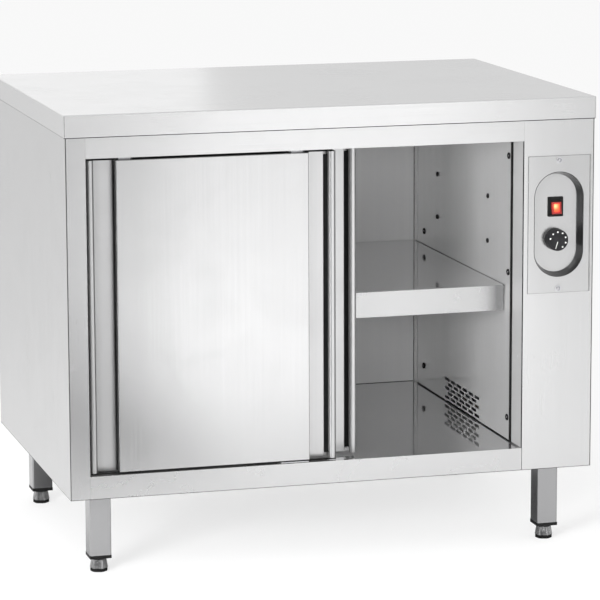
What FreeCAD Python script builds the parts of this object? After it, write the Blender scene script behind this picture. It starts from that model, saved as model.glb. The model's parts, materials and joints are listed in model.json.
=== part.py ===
# Warming cabinet: a stainless steel cupboard on four adjustable feet, with a worktop,
# two sliding doors, one shelf and a control column with a fan heater at its right.
# Millimetres, +Z up, the front faces -Y, the origin on the floor under the middle.
import FreeCAD, Part
import math
import os
import types
import Sketcher
from FreeCAD import Placement, Rotation, Vector

doc = FreeCAD.newDocument("WarmingCabinet")
sheet = doc.addObject("Spreadsheet::Sheet", "Sizes")

# Driving dimensions: every length in mm, angles in degrees
sizes = {
    # worktop
    "worktop_width": 1000,
    "worktop_depth": 700,
    "overall_height": 850,
    "lip_height": 40,
    "worktop_gauge": 1.5,
    "worktop_bend": 2,
    "lip_return": 20,
    "stiffener_width": 60,
    "stiffener_height": 25,
    "stiffener_spacing": 300,
    "stiffener_end_gap": 1,
    # casing
    "gauge": 1.2,
    "casing_inset": 2.5,
    "casing_bend": 2,
    "underside_height": 152.5,
    "stile_width": 36.5,
    "column_width": 136.5,
    "top_rail_height": 39,
    "bottom_rail_height": 41.5,
    "rail_ledge": 5,
    "floor_sink": 3,
    "return_depth": 58.5,
    "seam_gap": 9.5,
    "panel_flange": 20,
    "back_cavity": 30.5,
    "wall_lift": 2.5,
    "ceiling_drop": 20,
    "service_width": 76,
    "service_bottom_edge": 77.5,
    "service_top_edge": 60,
    "cover_overlap": 12,
    "louvre_width": 56,
    "louvre_height": 5,
    "louvre_pitch": 14,
    "louvre_edge": 36,
    "insulation_gap": 7,
    "insulation_headroom": 1,
    # legs and feet
    "leg_side": 40,
    "leg_gauge": 1.5,
    "leg_corner": 3,
    "leg_side_inset": 65,
    "leg_end_inset": 73.5,
    "leg_plate_side": 70,
    "leg_plate_corner": 6,
    "foot_height": 32.5,
    "cap_flange": 6,
    "cap_plug": 25,
    "cap_fit": 0.2,
    "pad_height": 6,
    "pad_radius": 15,
    "pad_edge": 1.5,
    "foot_body_height": 18,
    "foot_body_radius": 16,
    "foot_body_taper": 1.5,
    "spindle_radius": 5,
    "spindle_length": 50,
    "spindle_clearance": 0.1,
    # doors
    "door_overlap": 107,
    "door_setback": 6,
    "door_thickness": 28,
    "door_spacing": 4,
    "door_side_gap": 3.5,
    "door_top_gap": 5,
    "door_bottom_gap": 3,
    "rear_door_offset": 48.5,
    "skin_gauge": 1.2,
    "grip_width": 52,
    "nose_width": 13,
    "nose_setback": 4,
    "nose_depth": 10,
    "nose_radius": 5,
    "nose_slot": 5.6,
    "pocket_depth": 22,
    "strip_gap": 1.3,
    "strip_bend": 1,
    "grip_flange": 12,
    "slot_closure": 7,
    "liner_thickness": 2,
    "liner_inset": 0.4,
    "panel_bend": 1.8,
    "groove_width": 6,
    "groove_height": 12,
    # door hangers, rollers and track
    "hanger_inset": 71,
    "hanger_width": 22,
    "hanger_thickness": 3,
    "saddle_width": 28,
    "saddle_thickness": 4,
    "track_width": 26,
    "track_height": 28,
    "track_gauge": 1.5,
    "track_slot": 8,
    "roller_radius": 9,
    "roller_width": 6,
    "roller_side_gap": 1,
    "roller_float": 0.3,
    "axle_radius": 3,
    "axle_clearance": 0.05,
    "axle_head_radius": 4.5,
    "axle_head": 1.2,
    "buffer_length": 14,
    "buffer_gap": 0.3,
    "buffer_fit": 0.3,
    # bottom guide
    "guide_inset": 3,
    "guide_length": 52,
    "guide_base": 5,
    "guide_fin": 4,
    "guide_fin_height": 10,
    "guide_margin": 4,
    # shelf
    "shelf_side_gap": 2.5,
    "shelf_height": 295.5,
    "shelf_front": 34.5,
    "shelf_lip": 49,
    "shelf_hem": 15,
    "shelf_side_flange": 16,
    "shelf_notch": 4,
    "shelf_notch_gap": 0.3,
    "peg_radius": 4.5,
    "peg_length": 10,
    "peg_head_radius": 6,
    "peg_head": 2,
    "peg_shank_radius": 3,
    "peg_shank_length": 6,
    "peg_hole_gap": 0.2,
    "peg_front_inset": 133.5,
    "peg_rear_inset": 153,
    "peg_pitch": 86,
    # air grille in the partition
    "grille_height": 49,
    "grille_rear_inset": 203,
    "slot_length": 31,
    "slot_height": 6,
    "slot_pitch": 36.5,
    "slot_row_pitch": 9,
    # screws
    "screw_head_radius": 4,
    "screw_head": 1,
    "wall_screw_head": 2,
    "screw_shank_radius": 2,
    "screw_shank_length": 6,
    "screw_hole_gap": 0.1,
    "wall_screw_front_inset": 14.5,
    "wall_screw_rear_inset": 68,
    "wall_screw_low": 45,
    "wall_screw_middle": 323,
    "wall_screw_top_edge": 56,
    # controls
    "control_drop": 196,
    "plate_side_edge": 12.5,
    "plate_end_edge": 30.5,
    "plate_gauge": 1.5,
    "plate_edge": 0.8,
    "plate_corner": 2,
    "plate_screw_edge": 22.5,
    "tub_width": 95,
    "tub_height": 195,
    "tub_depth": 20,
    "tub_draft": 16.7,
    "tub_clearance": 1.5,
    "control_spread": 30.5,
    "bezel_width": 29.5,
    "bezel_height": 37,
    "bezel_depth": 2.5,
    "bezel_corner": 1.5,
    "switch_body_width": 27,
    "switch_body_height": 33,
    "switch_body_depth": 26,
    "rocker_width": 22.5,
    "rocker_height": 27,
    "rocker_rise": 2.2,
    "rocker_crown": 1,
    "rocker_back": 5,
    "rocker_tilt": 10,
    "rocker_gap": 0.35,
    "rocker_swing": 1.4,
    "rocker_drop": 1.8,
    "rocker_pivot_depth": 3,
    "rocker_pin_radius": 1.5,
    "rocker_pin_length": 1.2,
    "rocker_pin_clearance": 0.05,
    "well_depth": 11,
    "knob_radius": 20.7,
    "knob_height": 17,
    "knob_draft": 0.7,
    "knob_edge": 1.5,
    "knob_gap": 1,
    "knob_bore_depth": 11,
    "shaft_radius": 3,
    "shaft_clearance": 0.05,
    "shaft_inner_length": 12,
    "thermostat_side": 44,
    "thermostat_depth": 32,
    "capillary_radius": 1.2,
    "bulb_radius": 3.5,
    "bulb_length": 90,
    "bulb_height": 139,
    "bulb_front_inset": 219.5,
    "capillary_bend": 14,
    "capillary_drop": 40,
    "terminal_length": 70,
    "terminal_width": 34,
    "terminal_height": 26,
    "terminal_inset": 97,
    "gland_side_inset": 119.5,
    "gland_rear_inset": 47.5,
    "gland_radius": 12,
    "gland_dome_radius": 9,
    "gland_length": 16,
    "gland_dome": 8,
    "gland_thread_radius": 8,
    "gland_thread_length": 8,
    "gland_nut": 5,
    "gland_hole_gap": 0.2,
    # fan heater in the column
    "duct_margin": 4,
    "duct_height": 54,
    "duct_drop": 3,
    "fan_axis_reach": 80,
    "fan_axis_height": 71,
    "fan_radius": 30,
    "fan_bore_gap": 4,
    "fan_shell": 40,
    "fan_length": 196,
    "fan_end_gap": 12,
    "fan_blade": 5,
    "fan_shaft_radius": 3,
    "fan_shaft_clearance": 0.05,
    "motor_radius": 28,
    "motor_length": 52,
    "motor_foot": 44,
    "heater_radius": 4,
    "heater_bend": 12,
    "heater_reach": 25,
    "heater_rise": 16,
    "heater_end_gap": 16,
    "heater_stub": 22,
    "cut_overrun": 1,
}


class Size:
    """A length as a number and as the sheet expression that gives it."""

    def __init__(self, text, number):
        self.text = text
        self.number = number

    def __add__(self, other):
        return Size("(%s + %s)" % (self.text, text_of(other)), self.number + number_of(other))

    def __radd__(self, other):
        return Size("(%s + %s)" % (text_of(other), self.text), number_of(other) + self.number)

    def __sub__(self, other):
        return Size("(%s - %s)" % (self.text, text_of(other)), self.number - number_of(other))

    def __rsub__(self, other):
        return Size("(%s - %s)" % (text_of(other), self.text), number_of(other) - self.number)

    def __mul__(self, factor):
        return Size("(%s * %s)" % (self.text, text_of(factor)), self.number * number_of(factor))

    def __rmul__(self, factor):
        return self * factor

    def __truediv__(self, factor):
        return Size("(%s / %s)" % (self.text, text_of(factor)), self.number / number_of(factor))

    def __neg__(self):
        return self * -1


def text_of(value):
    return value.text if isinstance(value, Size) else repr(value)


def number_of(value):
    return value.number if isinstance(value, Size) else value


def fill_sheet():
    for row, (alias, value) in enumerate(sizes.items(), start=1):
        sheet.set("A%d" % row, alias)
        sheet.set("B%d" % row, str(value))
        sheet.setAlias("B%d" % row, alias)
    doc.recompute()


fill_sheet()
mm = types.SimpleNamespace(**{alias: Size("Sizes." + alias, value) for alias, value in sizes.items()})
nodes = []

# Counts, and shares of a length
louvre_count = 12
grille_row_counts = (6, 5)
grille_repeats = 3
blade_count = 16
peg_row_count = 3
heater_bend_share = 0.9
tube_volume_share = 0.01

# Planes that the pieces share
side_x = mm.worktop_width / 2 - mm.casing_inset
front_y = mm.casing_inset - mm.worktop_depth / 2
back_y = mm.worktop_depth / 2 - mm.casing_inset
top_z = mm.overall_height - mm.lip_height
low_z = mm.underside_height
open_left = mm.stile_width - side_x
open_right = side_x - mm.column_width
lintel_z = top_z - mm.top_rail_height
sill_z = low_z + mm.bottom_rail_height
floor_z = sill_z - mm.floor_sink
return_y = front_y + mm.return_depth
liner_y = return_y + mm.seam_gap
wall_y = back_y - mm.back_cavity
panel_z = low_z + mm.gauge
ceiling_z = top_z - mm.ceiling_drop
roof_z = top_z - mm.gauge
control_x = (open_right + side_x) / 2
control_z = top_z - mm.control_drop
door_width = (open_right - open_left - 2 * mm.door_side_gap + mm.door_overlap) / 2
tub_y = front_y - mm.plate_gauge + mm.tub_depth
switch_z = control_z + mm.control_spread
knob_z = control_z - mm.control_spread
shelf_top = floor_z + mm.shelf_height
peg_z = shelf_top - mm.shelf_side_flange + mm.shelf_notch - mm.peg_radius - mm.shelf_notch_gap
peg_front_y = liner_y + mm.peg_front_inset
peg_rear_y = wall_y - mm.peg_rear_inset


# Helpers
def bind(thing, prop, size):
    thing.setExpression(prop, text_of(size))


def ordered(pair):
    low, high = pair
    return (high, low) if number_of(low) > number_of(high) else (low, high)


def finish(name, thing):
    thing.Label = name
    nodes.append(thing)
    return thing


def put(thing, x=0, y=0, z=0):
    for axis, size in (("x", x), ("y", y), ("z", z)):
        bind(thing, "Placement.Base." + axis, size)


def block(x, y, z, name="block"):
    box = doc.addObject("Part::Box", name)
    for prop, axis, pair in (("Length", "x", x), ("Width", "y", y), ("Height", "z", z)):
        low, high = ordered(pair)
        bind(box, prop, high - low)
        bind(box, "Placement.Base." + axis, low)
    return box


turns = {
    "x": Rotation(Vector(0, 1, 0), 90),
    "y": Rotation(Vector(1, 0, 0), -90),
    "z": Rotation(),
}


def rod(axis, centre, radius, span, name="rod"):
    """A cylinder along an axis; centre gives the other two coordinates in x, y, z order."""
    low, high = ordered(span)
    bar = doc.addObject("Part::Cylinder", name)
    bar.Placement = Placement(Vector(), turns[axis])
    bind(bar, "Radius", radius)
    bind(bar, "Height", high - low)
    places = dict(zip([letter for letter in "xyz" if letter != axis], centre))
    places[axis] = low
    put(bar, **places)
    return bar


def fuse(items, name="fuse"):
    whole = doc.addObject("Part::MultiFuse", name)
    whole.Shapes = items
    whole.Refine = True
    return whole


def cut(base, tools, name="cut"):
    result = doc.addObject("Part::Cut", name)
    result.Base = base
    result.Tool = tools[0] if len(tools) == 1 else fuse(tools)
    result.Refine = True
    return result


def new_body(name):
    return doc.addObject("PartDesign::Body", name)


def new_sketch(body, role, offset=0):
    """A sketch on one of the body's own origin planes, moved along that plane's normal."""
    sketch = body.newObject("Sketcher::SketchObject", "sketch")
    plane = [item for item in body.Origin.OriginFeatures if item.Role == role][0]
    sketch.AttachmentSupport = [(plane, "")]
    sketch.MapMode = "FlatFace"
    bind(sketch, "AttachmentOffset.Base.z", offset)
    return sketch


def fix(sketch, kind, references, size):
    number = number_of(size)
    index = sketch.addConstraint(Sketcher.Constraint(kind, *references, number))
    sketch.setExpression("Constraints[%d]" % index, text_of(size))


def fix_point(sketch, geometry, position, point):
    fix(sketch, "DistanceX", (-1, 1, geometry, position), point[0])
    fix(sketch, "DistanceY", (-1, 1, geometry, position), point[1])


def outline(sketch, points):
    first = sketch.GeometryCount
    count = len(points)
    spots = [Vector(number_of(u), number_of(v), 0) for u, v in points]
    for index in range(count):
        sketch.addGeometry(Part.LineSegment(spots[index], spots[(index + 1) % count]))
    for index in range(count):
        following = first + (index + 1) % count
        sketch.addConstraint(Sketcher.Constraint("Coincident", first + index, 2, following, 1))
    for index in range(count):
        fix_point(sketch, first + index, 1, points[index])


def rectangle(sketch, u, v):
    outline(sketch, [(u[0], v[0]), (u[1], v[0]), (u[1], v[1]), (u[0], v[1])])


def circle(sketch, centre, radius):
    spot = Vector(number_of(centre[0]), number_of(centre[1]), 0)
    index = sketch.addGeometry(Part.Circle(spot, Vector(0, 0, 1), number_of(radius)))
    fix_point(sketch, index, 3, centre)
    fix(sketch, "Radius", (index,), radius)


def long_hole(sketch, centre, length, width, upright=False):
    """A slot with round ends: two half circles joined by two tangent lines."""
    first = sketch.GeometryCount
    radius = width / 2
    reach = (length - width) / 2
    shift = (0, reach) if upright else (reach, 0)
    ends = [(centre[0] + shift[0], centre[1] + shift[1]), (centre[0] - shift[0], centre[1] - shift[1])]
    spots = [Vector(number_of(u), number_of(v), 0) for u, v in ends]
    side = Vector(-number_of(radius), 0, 0) if upright else Vector(0, number_of(radius), 0)
    start = 0 if upright else -math.pi / 2
    rounds = [Part.Circle(spot, Vector(0, 0, 1), number_of(radius)) for spot in spots]
    sketch.addGeometry(Part.ArcOfCircle(rounds[0], start, start + math.pi))
    sketch.addGeometry(Part.LineSegment(spots[0] + side, spots[1] + side))
    sketch.addGeometry(Part.ArcOfCircle(rounds[1], start + math.pi, start + 2 * math.pi))
    sketch.addGeometry(Part.LineSegment(spots[1] - side, spots[0] - side))
    for index in range(4):
        following = first + (index + 1) % 4
        sketch.addConstraint(Sketcher.Constraint("Tangent", first + index, 2, following, 1))
    for arc, end in ((first, ends[0]), (first + 2, ends[1])):
        fix_point(sketch, arc, 3, end)
    fix(sketch, "Radius", (first,), radius)
    fix(sketch, "Radius", (first + 2,), radius)


def pad(body, sketch, length, backwards=False, midplane=False, taper=None):
    feature = body.newObject("PartDesign::Pad", "pad")
    feature.Profile = sketch
    feature.Reversed = backwards
    feature.Midplane = midplane
    bind(feature, "Length", length)
    if taper is not None:
        bind(feature, "TaperAngle", taper)
    return feature


def pocket(body, sketch, length, backwards=False, taper=None):
    """Cuts against the sketch's normal, or along it when backwards; checks that it cut."""
    doc.recompute()
    before = body.Shape.Volume
    feature = body.newObject("PartDesign::Pocket", "pocket")
    feature.Profile = sketch
    feature.Reversed = backwards
    bind(feature, "Length", length)
    if taper is not None:
        bind(feature, "TaperAngle", taper)
    doc.recompute()
    if not body.Shape.Volume < before:
        raise RuntimeError("a pocket in %s removed nothing" % body.Name)
    return feature


def revolve(body, points):
    """Turns an outline of (radius, height) points about the body's own Z axis."""
    sketch = new_sketch(body, "XZ_Plane")
    outline(sketch, points)
    feature = body.newObject("PartDesign::Revolution", "revolution")
    feature.Profile = sketch
    feature.ReferenceAxis = (sketch, ["V_Axis"])
    feature.Angle = 360
    return feature


def edges_where(shape, test):
    return ["Edge%d" % number for number, edge in enumerate(shape.Edges, start=1) if test(edge)]


def at(value, size):
    return abs(value - number_of(size)) < 0.01


def upright_at(x, y):
    """Edges that stand upright at one of the given x and y places."""
    def test(edge):
        box = edge.BoundBox
        thin = box.XLength < 0.01 and box.YLength < 0.01
        return thin and any(at(box.XMin, a) for a in x) and any(at(box.YMin, b) for b in y)
    return test


def round_edges(body, test, radius):
    doc.recompute()
    base = body.Tip
    names = edges_where(base.Shape, test)
    if not names:
        raise RuntimeError("no edges to round in %s" % body.Name)
    feature = body.newObject("PartDesign::Fillet", "fillet")
    feature.Base = (base, names)
    bind(feature, "Radius", radius)
    return feature


def punch(body, role, offset, centres, radius, length, backwards=False):
    """Round holes, all in one sketch, through one sheet."""
    sketch = new_sketch(body, role, offset)
    for centre in centres:
        circle(sketch, centre, radius)
    return pocket(body, sketch, length, backwards)


def repeat(body, feature, sketch, axis, length, count):
    pattern = body.newObject("PartDesign::LinearPattern", "pattern")
    pattern.Originals = [feature]
    pattern.Direction = (sketch, [axis])
    bind(pattern, "Length", length)
    pattern.Occurrences = count
    body.Tip = pattern
    return pattern


def bent_tube(points, radius, bend):
    """A round bar along straight runs joined by tangent arcs; points are Vectors."""
    edges = []
    start = points[0]
    for before, corner, after in zip(points, points[1:], points[2:]):
        first = (before - corner).normalize()
        second = (after - corner).normalize()
        half = first.getAngle(second) / 2
        reach = bend / math.tan(half)
        middle = corner + (first + second).normalize() * (bend / math.sin(half) - bend)
        enter = corner + first * reach
        leave = corner + second * reach
        edges.append(Part.LineSegment(start, enter).toShape())
        edges.append(Part.Arc(enter, middle, leave).toShape())
        start = leave
    edges.append(Part.LineSegment(start, points[-1]).toShape())
    path = Part.Wire(edges)
    ring = Part.Circle(points[0], points[1] - points[0], radius).toShape()
    tube = path.makePipeShell([Part.Wire([ring])], True, False)
    expected = math.pi * radius * radius * path.Length
    if abs(tube.Volume / expected - 1) > tube_volume_share:
        raise RuntimeError("a bent tube has the wrong volume")
    return tube


def spot(x, y, z):
    return Vector(number_of(x), number_of(y), number_of(z))


# Worktop: one folded sheet with a lip on all four sides, and two channels under it
def worktop():
    half_x = mm.worktop_width / 2
    half_y = mm.worktop_depth / 2
    body = new_body("worktop")
    sketch = new_sketch(body, "XY_Plane", top_z)
    rectangle(sketch, (-half_x, half_x), (-half_y, half_y))
    pad(body, sketch, mm.lip_height)

    def outer_corner(edge):
        box = edge.BoundBox
        on_top = at(box.ZMin, mm.overall_height)
        return on_top or upright_at((-half_x, half_x), (-half_y, half_y))(edge)

    round_edges(body, outer_corner, mm.worktop_bend)
    inner_x = half_x - mm.worktop_gauge
    inner_y = half_y - mm.worktop_gauge
    hollow = new_sketch(body, "XY_Plane", top_z + mm.worktop_gauge)
    rectangle(hollow, (-inner_x, inner_x), (-inner_y, inner_y))
    pocket(body, hollow, mm.lip_height - 2 * mm.worktop_gauge, backwards=True)
    mouth_x = half_x - mm.lip_return
    mouth_y = half_y - mm.lip_return
    mouth = new_sketch(body, "XY_Plane", top_z)
    rectangle(mouth, (-mouth_x, mouth_x), (-mouth_y, mouth_y))
    pocket(body, mouth, mm.worktop_gauge, backwards=True)
    finish("worktop", body)


def worktop_stiffeners():
    under = mm.overall_height - mm.worktop_gauge
    reach = mm.worktop_width / 2 - mm.worktop_gauge - mm.stiffener_end_gap
    channels = []
    for side in (-1, 1):
        middle = side * mm.stiffener_spacing / 2
        outer = (middle - mm.stiffener_width / 2, middle + mm.stiffener_width / 2)
        inner = (outer[0] + mm.worktop_gauge, outer[1] - mm.worktop_gauge)
        bottom = under - mm.stiffener_height
        solid = block((-reach, reach), outer, (bottom, under))
        trough = block((-reach, reach), inner, (bottom + mm.worktop_gauge, under))
        channels.append(cut(solid, [trough]))
    finish("worktop_stiffeners", fuse(channels))


# Casing
def side_panel(name, side, face_width):
    """Side, front face and rearward return in one folded sheet, with a flange at each other edge."""
    edge = side * side_x
    inner = side * (side_x - face_width)
    fold = side * mm.gauge
    flange = edge - fold - side * mm.panel_flange
    rear = back_y - mm.gauge
    body = new_body(name)
    plan = new_sketch(body, "XY_Plane", low_z)
    outline(plan, [
        (edge, back_y),
        (edge, front_y),
        (inner, front_y),
        (inner, return_y),
        (inner + fold, return_y),
        (inner + fold, front_y + mm.gauge),
        (edge - fold, front_y + mm.gauge),
        (edge - fold, rear - mm.gauge),
        (flange, rear - mm.gauge),
        (flange, rear),
        (edge - fold, rear),
        (edge - fold, back_y),
    ])
    pad(body, plan, top_z - low_z)
    round_edges(body, upright_at((edge,), (front_y,)), mm.casing_bend)
    for level in (low_z, roof_z):
        flat = new_sketch(body, "XY_Plane", level)
        rectangle(flat, ordered((edge - fold, flange)), (front_y + mm.gauge, rear - mm.gauge))
        pad(body, flat, mm.gauge)
    notch = new_sketch(body, "XY_Plane", low_z)
    rectangle(notch, ordered((inner, inner + fold)), (front_y + mm.gauge, return_y))
    pocket(body, notch, 2 * mm.gauge, backwards=True)
    return body


def left_side_panel():
    finish("left_side_panel", side_panel("left_side_panel", -1, mm.stile_width))


def right_side_panel():
    body = side_panel("right_side_panel", 1, mm.column_width)
    opening = new_sketch(body, "XZ_Plane", -front_y)
    width = mm.tub_width + 2 * mm.gauge + 2 * mm.tub_clearance
    height = mm.tub_height + 2 * mm.gauge + 2 * mm.tub_clearance
    long_hole(opening, (control_x, control_z), height, width, upright=True)
    pocket(body, opening, mm.gauge)
    centres = [(control_x, z) for x, z in plate_screw_places()]
    punch(body, "XZ_Plane", -front_y, centres, mm.screw_shank_radius + mm.screw_hole_gap, mm.gauge)
    finish("right_side_panel", body)


def top_rail():
    body = new_body("top_rail")
    profile = new_sketch(body, "YZ_Plane", open_left)
    outline(profile, [
        (front_y, top_z),
        (return_y, top_z),
        (return_y, roof_z),
        (front_y + mm.gauge, roof_z),
        (front_y + mm.gauge, lintel_z + mm.gauge),
        (front_y + mm.rail_ledge, lintel_z + mm.gauge),
        (front_y + mm.rail_ledge, lintel_z),
        (front_y, lintel_z),
    ])
    pad(body, profile, open_right - open_left)
    finish("top_rail", body)


def floor_pan():
    """The front rail, the small upstand behind it and the floor, folded from one sheet."""
    ledge = front_y + mm.rail_ledge
    body = new_body("floor_pan")
    profile = new_sketch(body, "YZ_Plane", open_left)
    outline(profile, [
        (front_y, low_z),
        (front_y, sill_z),
        (ledge, sill_z),
        (ledge, floor_z),
        (wall_y, floor_z),
        (wall_y, floor_z - mm.gauge),
        (ledge - mm.gauge, floor_z - mm.gauge),
        (ledge - mm.gauge, sill_z - mm.gauge),
        (front_y + mm.gauge, sill_z - mm.gauge),
        (front_y + mm.gauge, panel_z),
        (front_y + mm.panel_flange, panel_z),
        (front_y + mm.panel_flange, low_z),
    ])
    pad(body, profile, open_right - open_left)
    for edge, side in ((open_left, 1), (open_right, -1)):
        turned = new_sketch(body, "XY_Plane", floor_z - mm.panel_flange)
        rectangle(turned, ordered((edge, edge + side * mm.gauge)), (ledge, wall_y))
        pad(body, turned, mm.panel_flange - mm.gauge)
    finish("floor_pan", body)


def gland_place():
    return side_x - mm.gland_side_inset, back_y - mm.gland_rear_inset


def underside_panel():
    body = new_body("underside_panel")
    inner = side_x - mm.gauge
    sheet_plan = new_sketch(body, "XY_Plane", panel_z)
    rectangle(sheet_plan, (-inner, inner), (front_y + mm.gauge, back_y - 2 * mm.gauge))
    pad(body, sheet_plan, mm.gauge)
    radius = mm.gland_thread_radius + mm.gland_hole_gap
    punch(body, "XY_Plane", panel_z, [gland_place()], radius, mm.gauge, backwards=True)
    finish("underside_panel", body)


def service_span():
    return (control_x - mm.service_width / 2, control_x + mm.service_width / 2)


def service_levels():
    return low_z + mm.service_bottom_edge, top_z - mm.service_top_edge


def back_panel():
    body = new_body("back_panel")
    inner = side_x - mm.gauge
    skin = new_sketch(body, "XZ_Plane", -back_y)
    rectangle(skin, (-inner, inner), (low_z, top_z))
    pad(body, skin, mm.gauge)
    flat = new_sketch(body, "XY_Plane", roof_z)
    reach = inner - mm.panel_flange
    rectangle(flat, (-reach, reach), (wall_y + mm.gauge, back_y - mm.gauge))
    pad(body, flat, mm.gauge)
    opening = new_sketch(body, "XZ_Plane", -back_y)
    rectangle(opening, service_span(), service_levels())
    pocket(body, opening, mm.gauge, backwards=True)
    radius = mm.screw_shank_radius + mm.screw_hole_gap
    punch(body, "XZ_Plane", -back_y, cover_screw_places(), radius, mm.gauge, backwards=True)
    finish("back_panel", body)


def service_cover():
    """A screwed cover over the rear opening of the column, with a block of cooling slots."""
    left, right = service_span()
    rear = back_y + mm.gauge
    body = new_body("service_cover")
    skin = new_sketch(body, "XZ_Plane", -rear)
    lap = mm.cover_overlap
    bottom, top = service_levels()
    rectangle(skin, (left - lap, right + lap), (bottom - lap, top + lap))
    pad(body, skin, mm.gauge)
    louvre = new_sketch(body, "XZ_Plane", -rear)
    block_height = (louvre_count - 1) * mm.louvre_pitch
    long_hole(louvre, (control_x, top - mm.louvre_edge - block_height), mm.louvre_width, mm.louvre_height)
    feature = pocket(body, louvre, mm.gauge, backwards=True)
    repeat(body, feature, louvre, "V_Axis", block_height, louvre_count)
    radius = mm.screw_shank_radius + mm.screw_hole_gap
    punch(body, "XZ_Plane", -rear, cover_screw_places(), radius, mm.gauge, backwards=True)
    finish("service_cover", body)


# Inner lining of the heated compartment
def peg_places():
    rows = [peg_z + step * mm.peg_pitch for step in range(peg_row_count)]
    return [(y, z) for y in (peg_front_y, peg_rear_y) for z in rows]


def wall_screw_places():
    front = liner_y + mm.wall_screw_front_inset
    rear = wall_y - mm.wall_screw_rear_inset
    high = ceiling_z - mm.wall_screw_top_edge
    levels = (floor_z + mm.wall_screw_low, floor_z + mm.wall_screw_middle, high)
    return [(y, z) for y in (front, rear) for z in levels]


def side_wall(name, face, side):
    """A lining sheet whose face is at x = face, with a flange at the front and holes for pegs."""
    away = face + side * mm.gauge
    body = new_body(name)
    plan = new_sketch(body, "XY_Plane", floor_z + mm.wall_lift)
    outline(plan, [
        (face, liner_y),
        (face, wall_y),
        (away, wall_y),
        (away, liner_y + mm.gauge),
        (away + side * mm.panel_flange, liner_y + mm.gauge),
        (away + side * mm.panel_flange, liner_y),
    ])
    pad(body, plan, roof_z - floor_z - mm.wall_lift)
    low, high = ordered((face, away))
    radius = mm.peg_shank_radius + mm.peg_hole_gap
    punch(body, "YZ_Plane", high, peg_places(), radius, high - low)
    radius = mm.screw_shank_radius + mm.screw_hole_gap
    punch(body, "YZ_Plane", high, wall_screw_places(), radius, high - low)
    return body


def left_inner_wall():
    finish("left_inner_wall", side_wall("left_inner_wall", open_left, -1))


def grille_span():
    rear = wall_y - mm.grille_rear_inset
    return rear - mm.slot_length - (max(grille_row_counts) - 1) * mm.slot_pitch, rear


def partition_wall():
    """The right lining, with the grille that the warm air blows through: six rows of slots."""
    body = side_wall("partition_wall", open_right, 1)
    for step, count in enumerate(grille_row_counts):
        sketch = new_sketch(body, "YZ_Plane", open_right + mm.gauge)
        rear = grille_span()[1] - mm.slot_length / 2 - step * mm.slot_pitch / 2
        height = floor_z + mm.grille_height - mm.slot_height / 2 - step * mm.slot_row_pitch
        for index in range(count):
            long_hole(sketch, (rear - index * mm.slot_pitch, height), mm.slot_length, mm.slot_height)
        feature = pocket(body, sketch, mm.gauge)
        drop = len(grille_row_counts) * (grille_repeats - 1) * mm.slot_row_pitch
        pattern = repeat(body, feature, sketch, "V_Axis", drop, grille_repeats)
        pattern.Reversed = True
    finish("partition_wall", body)


def inner_back_wall():
    depth = (wall_y, wall_y + mm.gauge)
    skin = block((open_left, open_right), depth, (floor_z - mm.panel_flange, roof_z))
    finish("inner_back_wall", skin)


def inner_ceiling():
    sheet_part = block((open_left, open_right), (liner_y, wall_y), (ceiling_z - mm.gauge, ceiling_z))
    upstand = block((open_left, open_right), (liner_y, liner_y + mm.gauge), (ceiling_z, roof_z))
    finish("inner_ceiling", fuse([sheet_part, upstand]))


def insulation_boards():
    """Mineral wool behind the left, rear, upper and lower linings."""
    outer = -side_x + mm.gauge
    inner = open_left - mm.insulation_gap
    flange = mm.gauge + mm.panel_flange
    above = panel_z + mm.gauge
    high = roof_z - mm.insulation_headroom
    left = block((outer, inner), (liner_y + 2 * mm.gauge, wall_y), (above, high))
    rear = block((open_left, open_right), (wall_y + mm.gauge, back_y - mm.gauge), (above, high))
    top = block((open_left, open_right), (liner_y + mm.gauge, wall_y), (ceiling_z, high))
    low_x = (open_left + mm.gauge, open_right - mm.gauge)
    low_y = (front_y + flange, wall_y)
    low = block(low_x, low_y, (above, floor_z - mm.gauge))
    finish("insulation_boards", fuse([left, rear, top, low]))


# Legs and feet
leg_corners = {
    "front_left": (-1, -1),
    "front_right": (1, -1),
    "rear_left": (-1, 1),
    "rear_right": (1, 1),
}


def leg_place(corner):
    across, along = leg_corners[corner]
    return across * (side_x - mm.leg_side_inset), along * (back_y - mm.leg_end_inset)


def leg(corner):
    """A square tube with a welded plate on top, which bolts under the casing."""
    half = mm.leg_side / 2
    inner = half - mm.leg_gauge
    plate = mm.leg_plate_side / 2
    body = new_body("leg_" + corner)
    tube = new_sketch(body, "XY_Plane", mm.foot_height)
    rectangle(tube, (-half, half), (-half, half))
    pad(body, tube, low_z - mm.foot_height)
    round_edges(body, upright_at((-half, half), (-half, half)), mm.leg_corner)
    bore = new_sketch(body, "XY_Plane", mm.foot_height)
    rectangle(bore, (-inner, inner), (-inner, inner))
    pocket(body, bore, low_z - mm.foot_height, backwards=True)
    top = new_sketch(body, "XY_Plane", low_z)
    rectangle(top, (-plate, plate), (-plate, plate))
    pad(body, top, mm.gauge)
    round_edges(body, upright_at((-plate, plate), (-plate, plate)), mm.leg_plate_corner)
    x, y = leg_place(corner)
    put(body, x, y)
    finish("leg_" + corner, body)


def leg_end_caps():
    """A plastic plug in the end of each leg, bored for the foot's spindle."""
    caps = []
    bottom = mm.foot_height - mm.cap_flange
    for corner in leg_corners:
        x, y = leg_place(corner)
        half = mm.leg_side / 2
        plug = half - mm.leg_gauge - mm.cap_fit
        flange = block((x - half, x + half), (y - half, y + half), (bottom, mm.foot_height))
        top = mm.foot_height + mm.cap_plug
        stem = block((x - plug, x + plug), (y - plug, y + plug), (mm.foot_height, top))
        radius = mm.spindle_radius + mm.spindle_clearance
        hole = rod("z", (x, y), radius, (bottom, mm.foot_height + mm.cap_plug))
        caps.append(cut(fuse([flange, stem]), [hole]))
    finish("leg_end_caps", fuse(caps))


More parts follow.
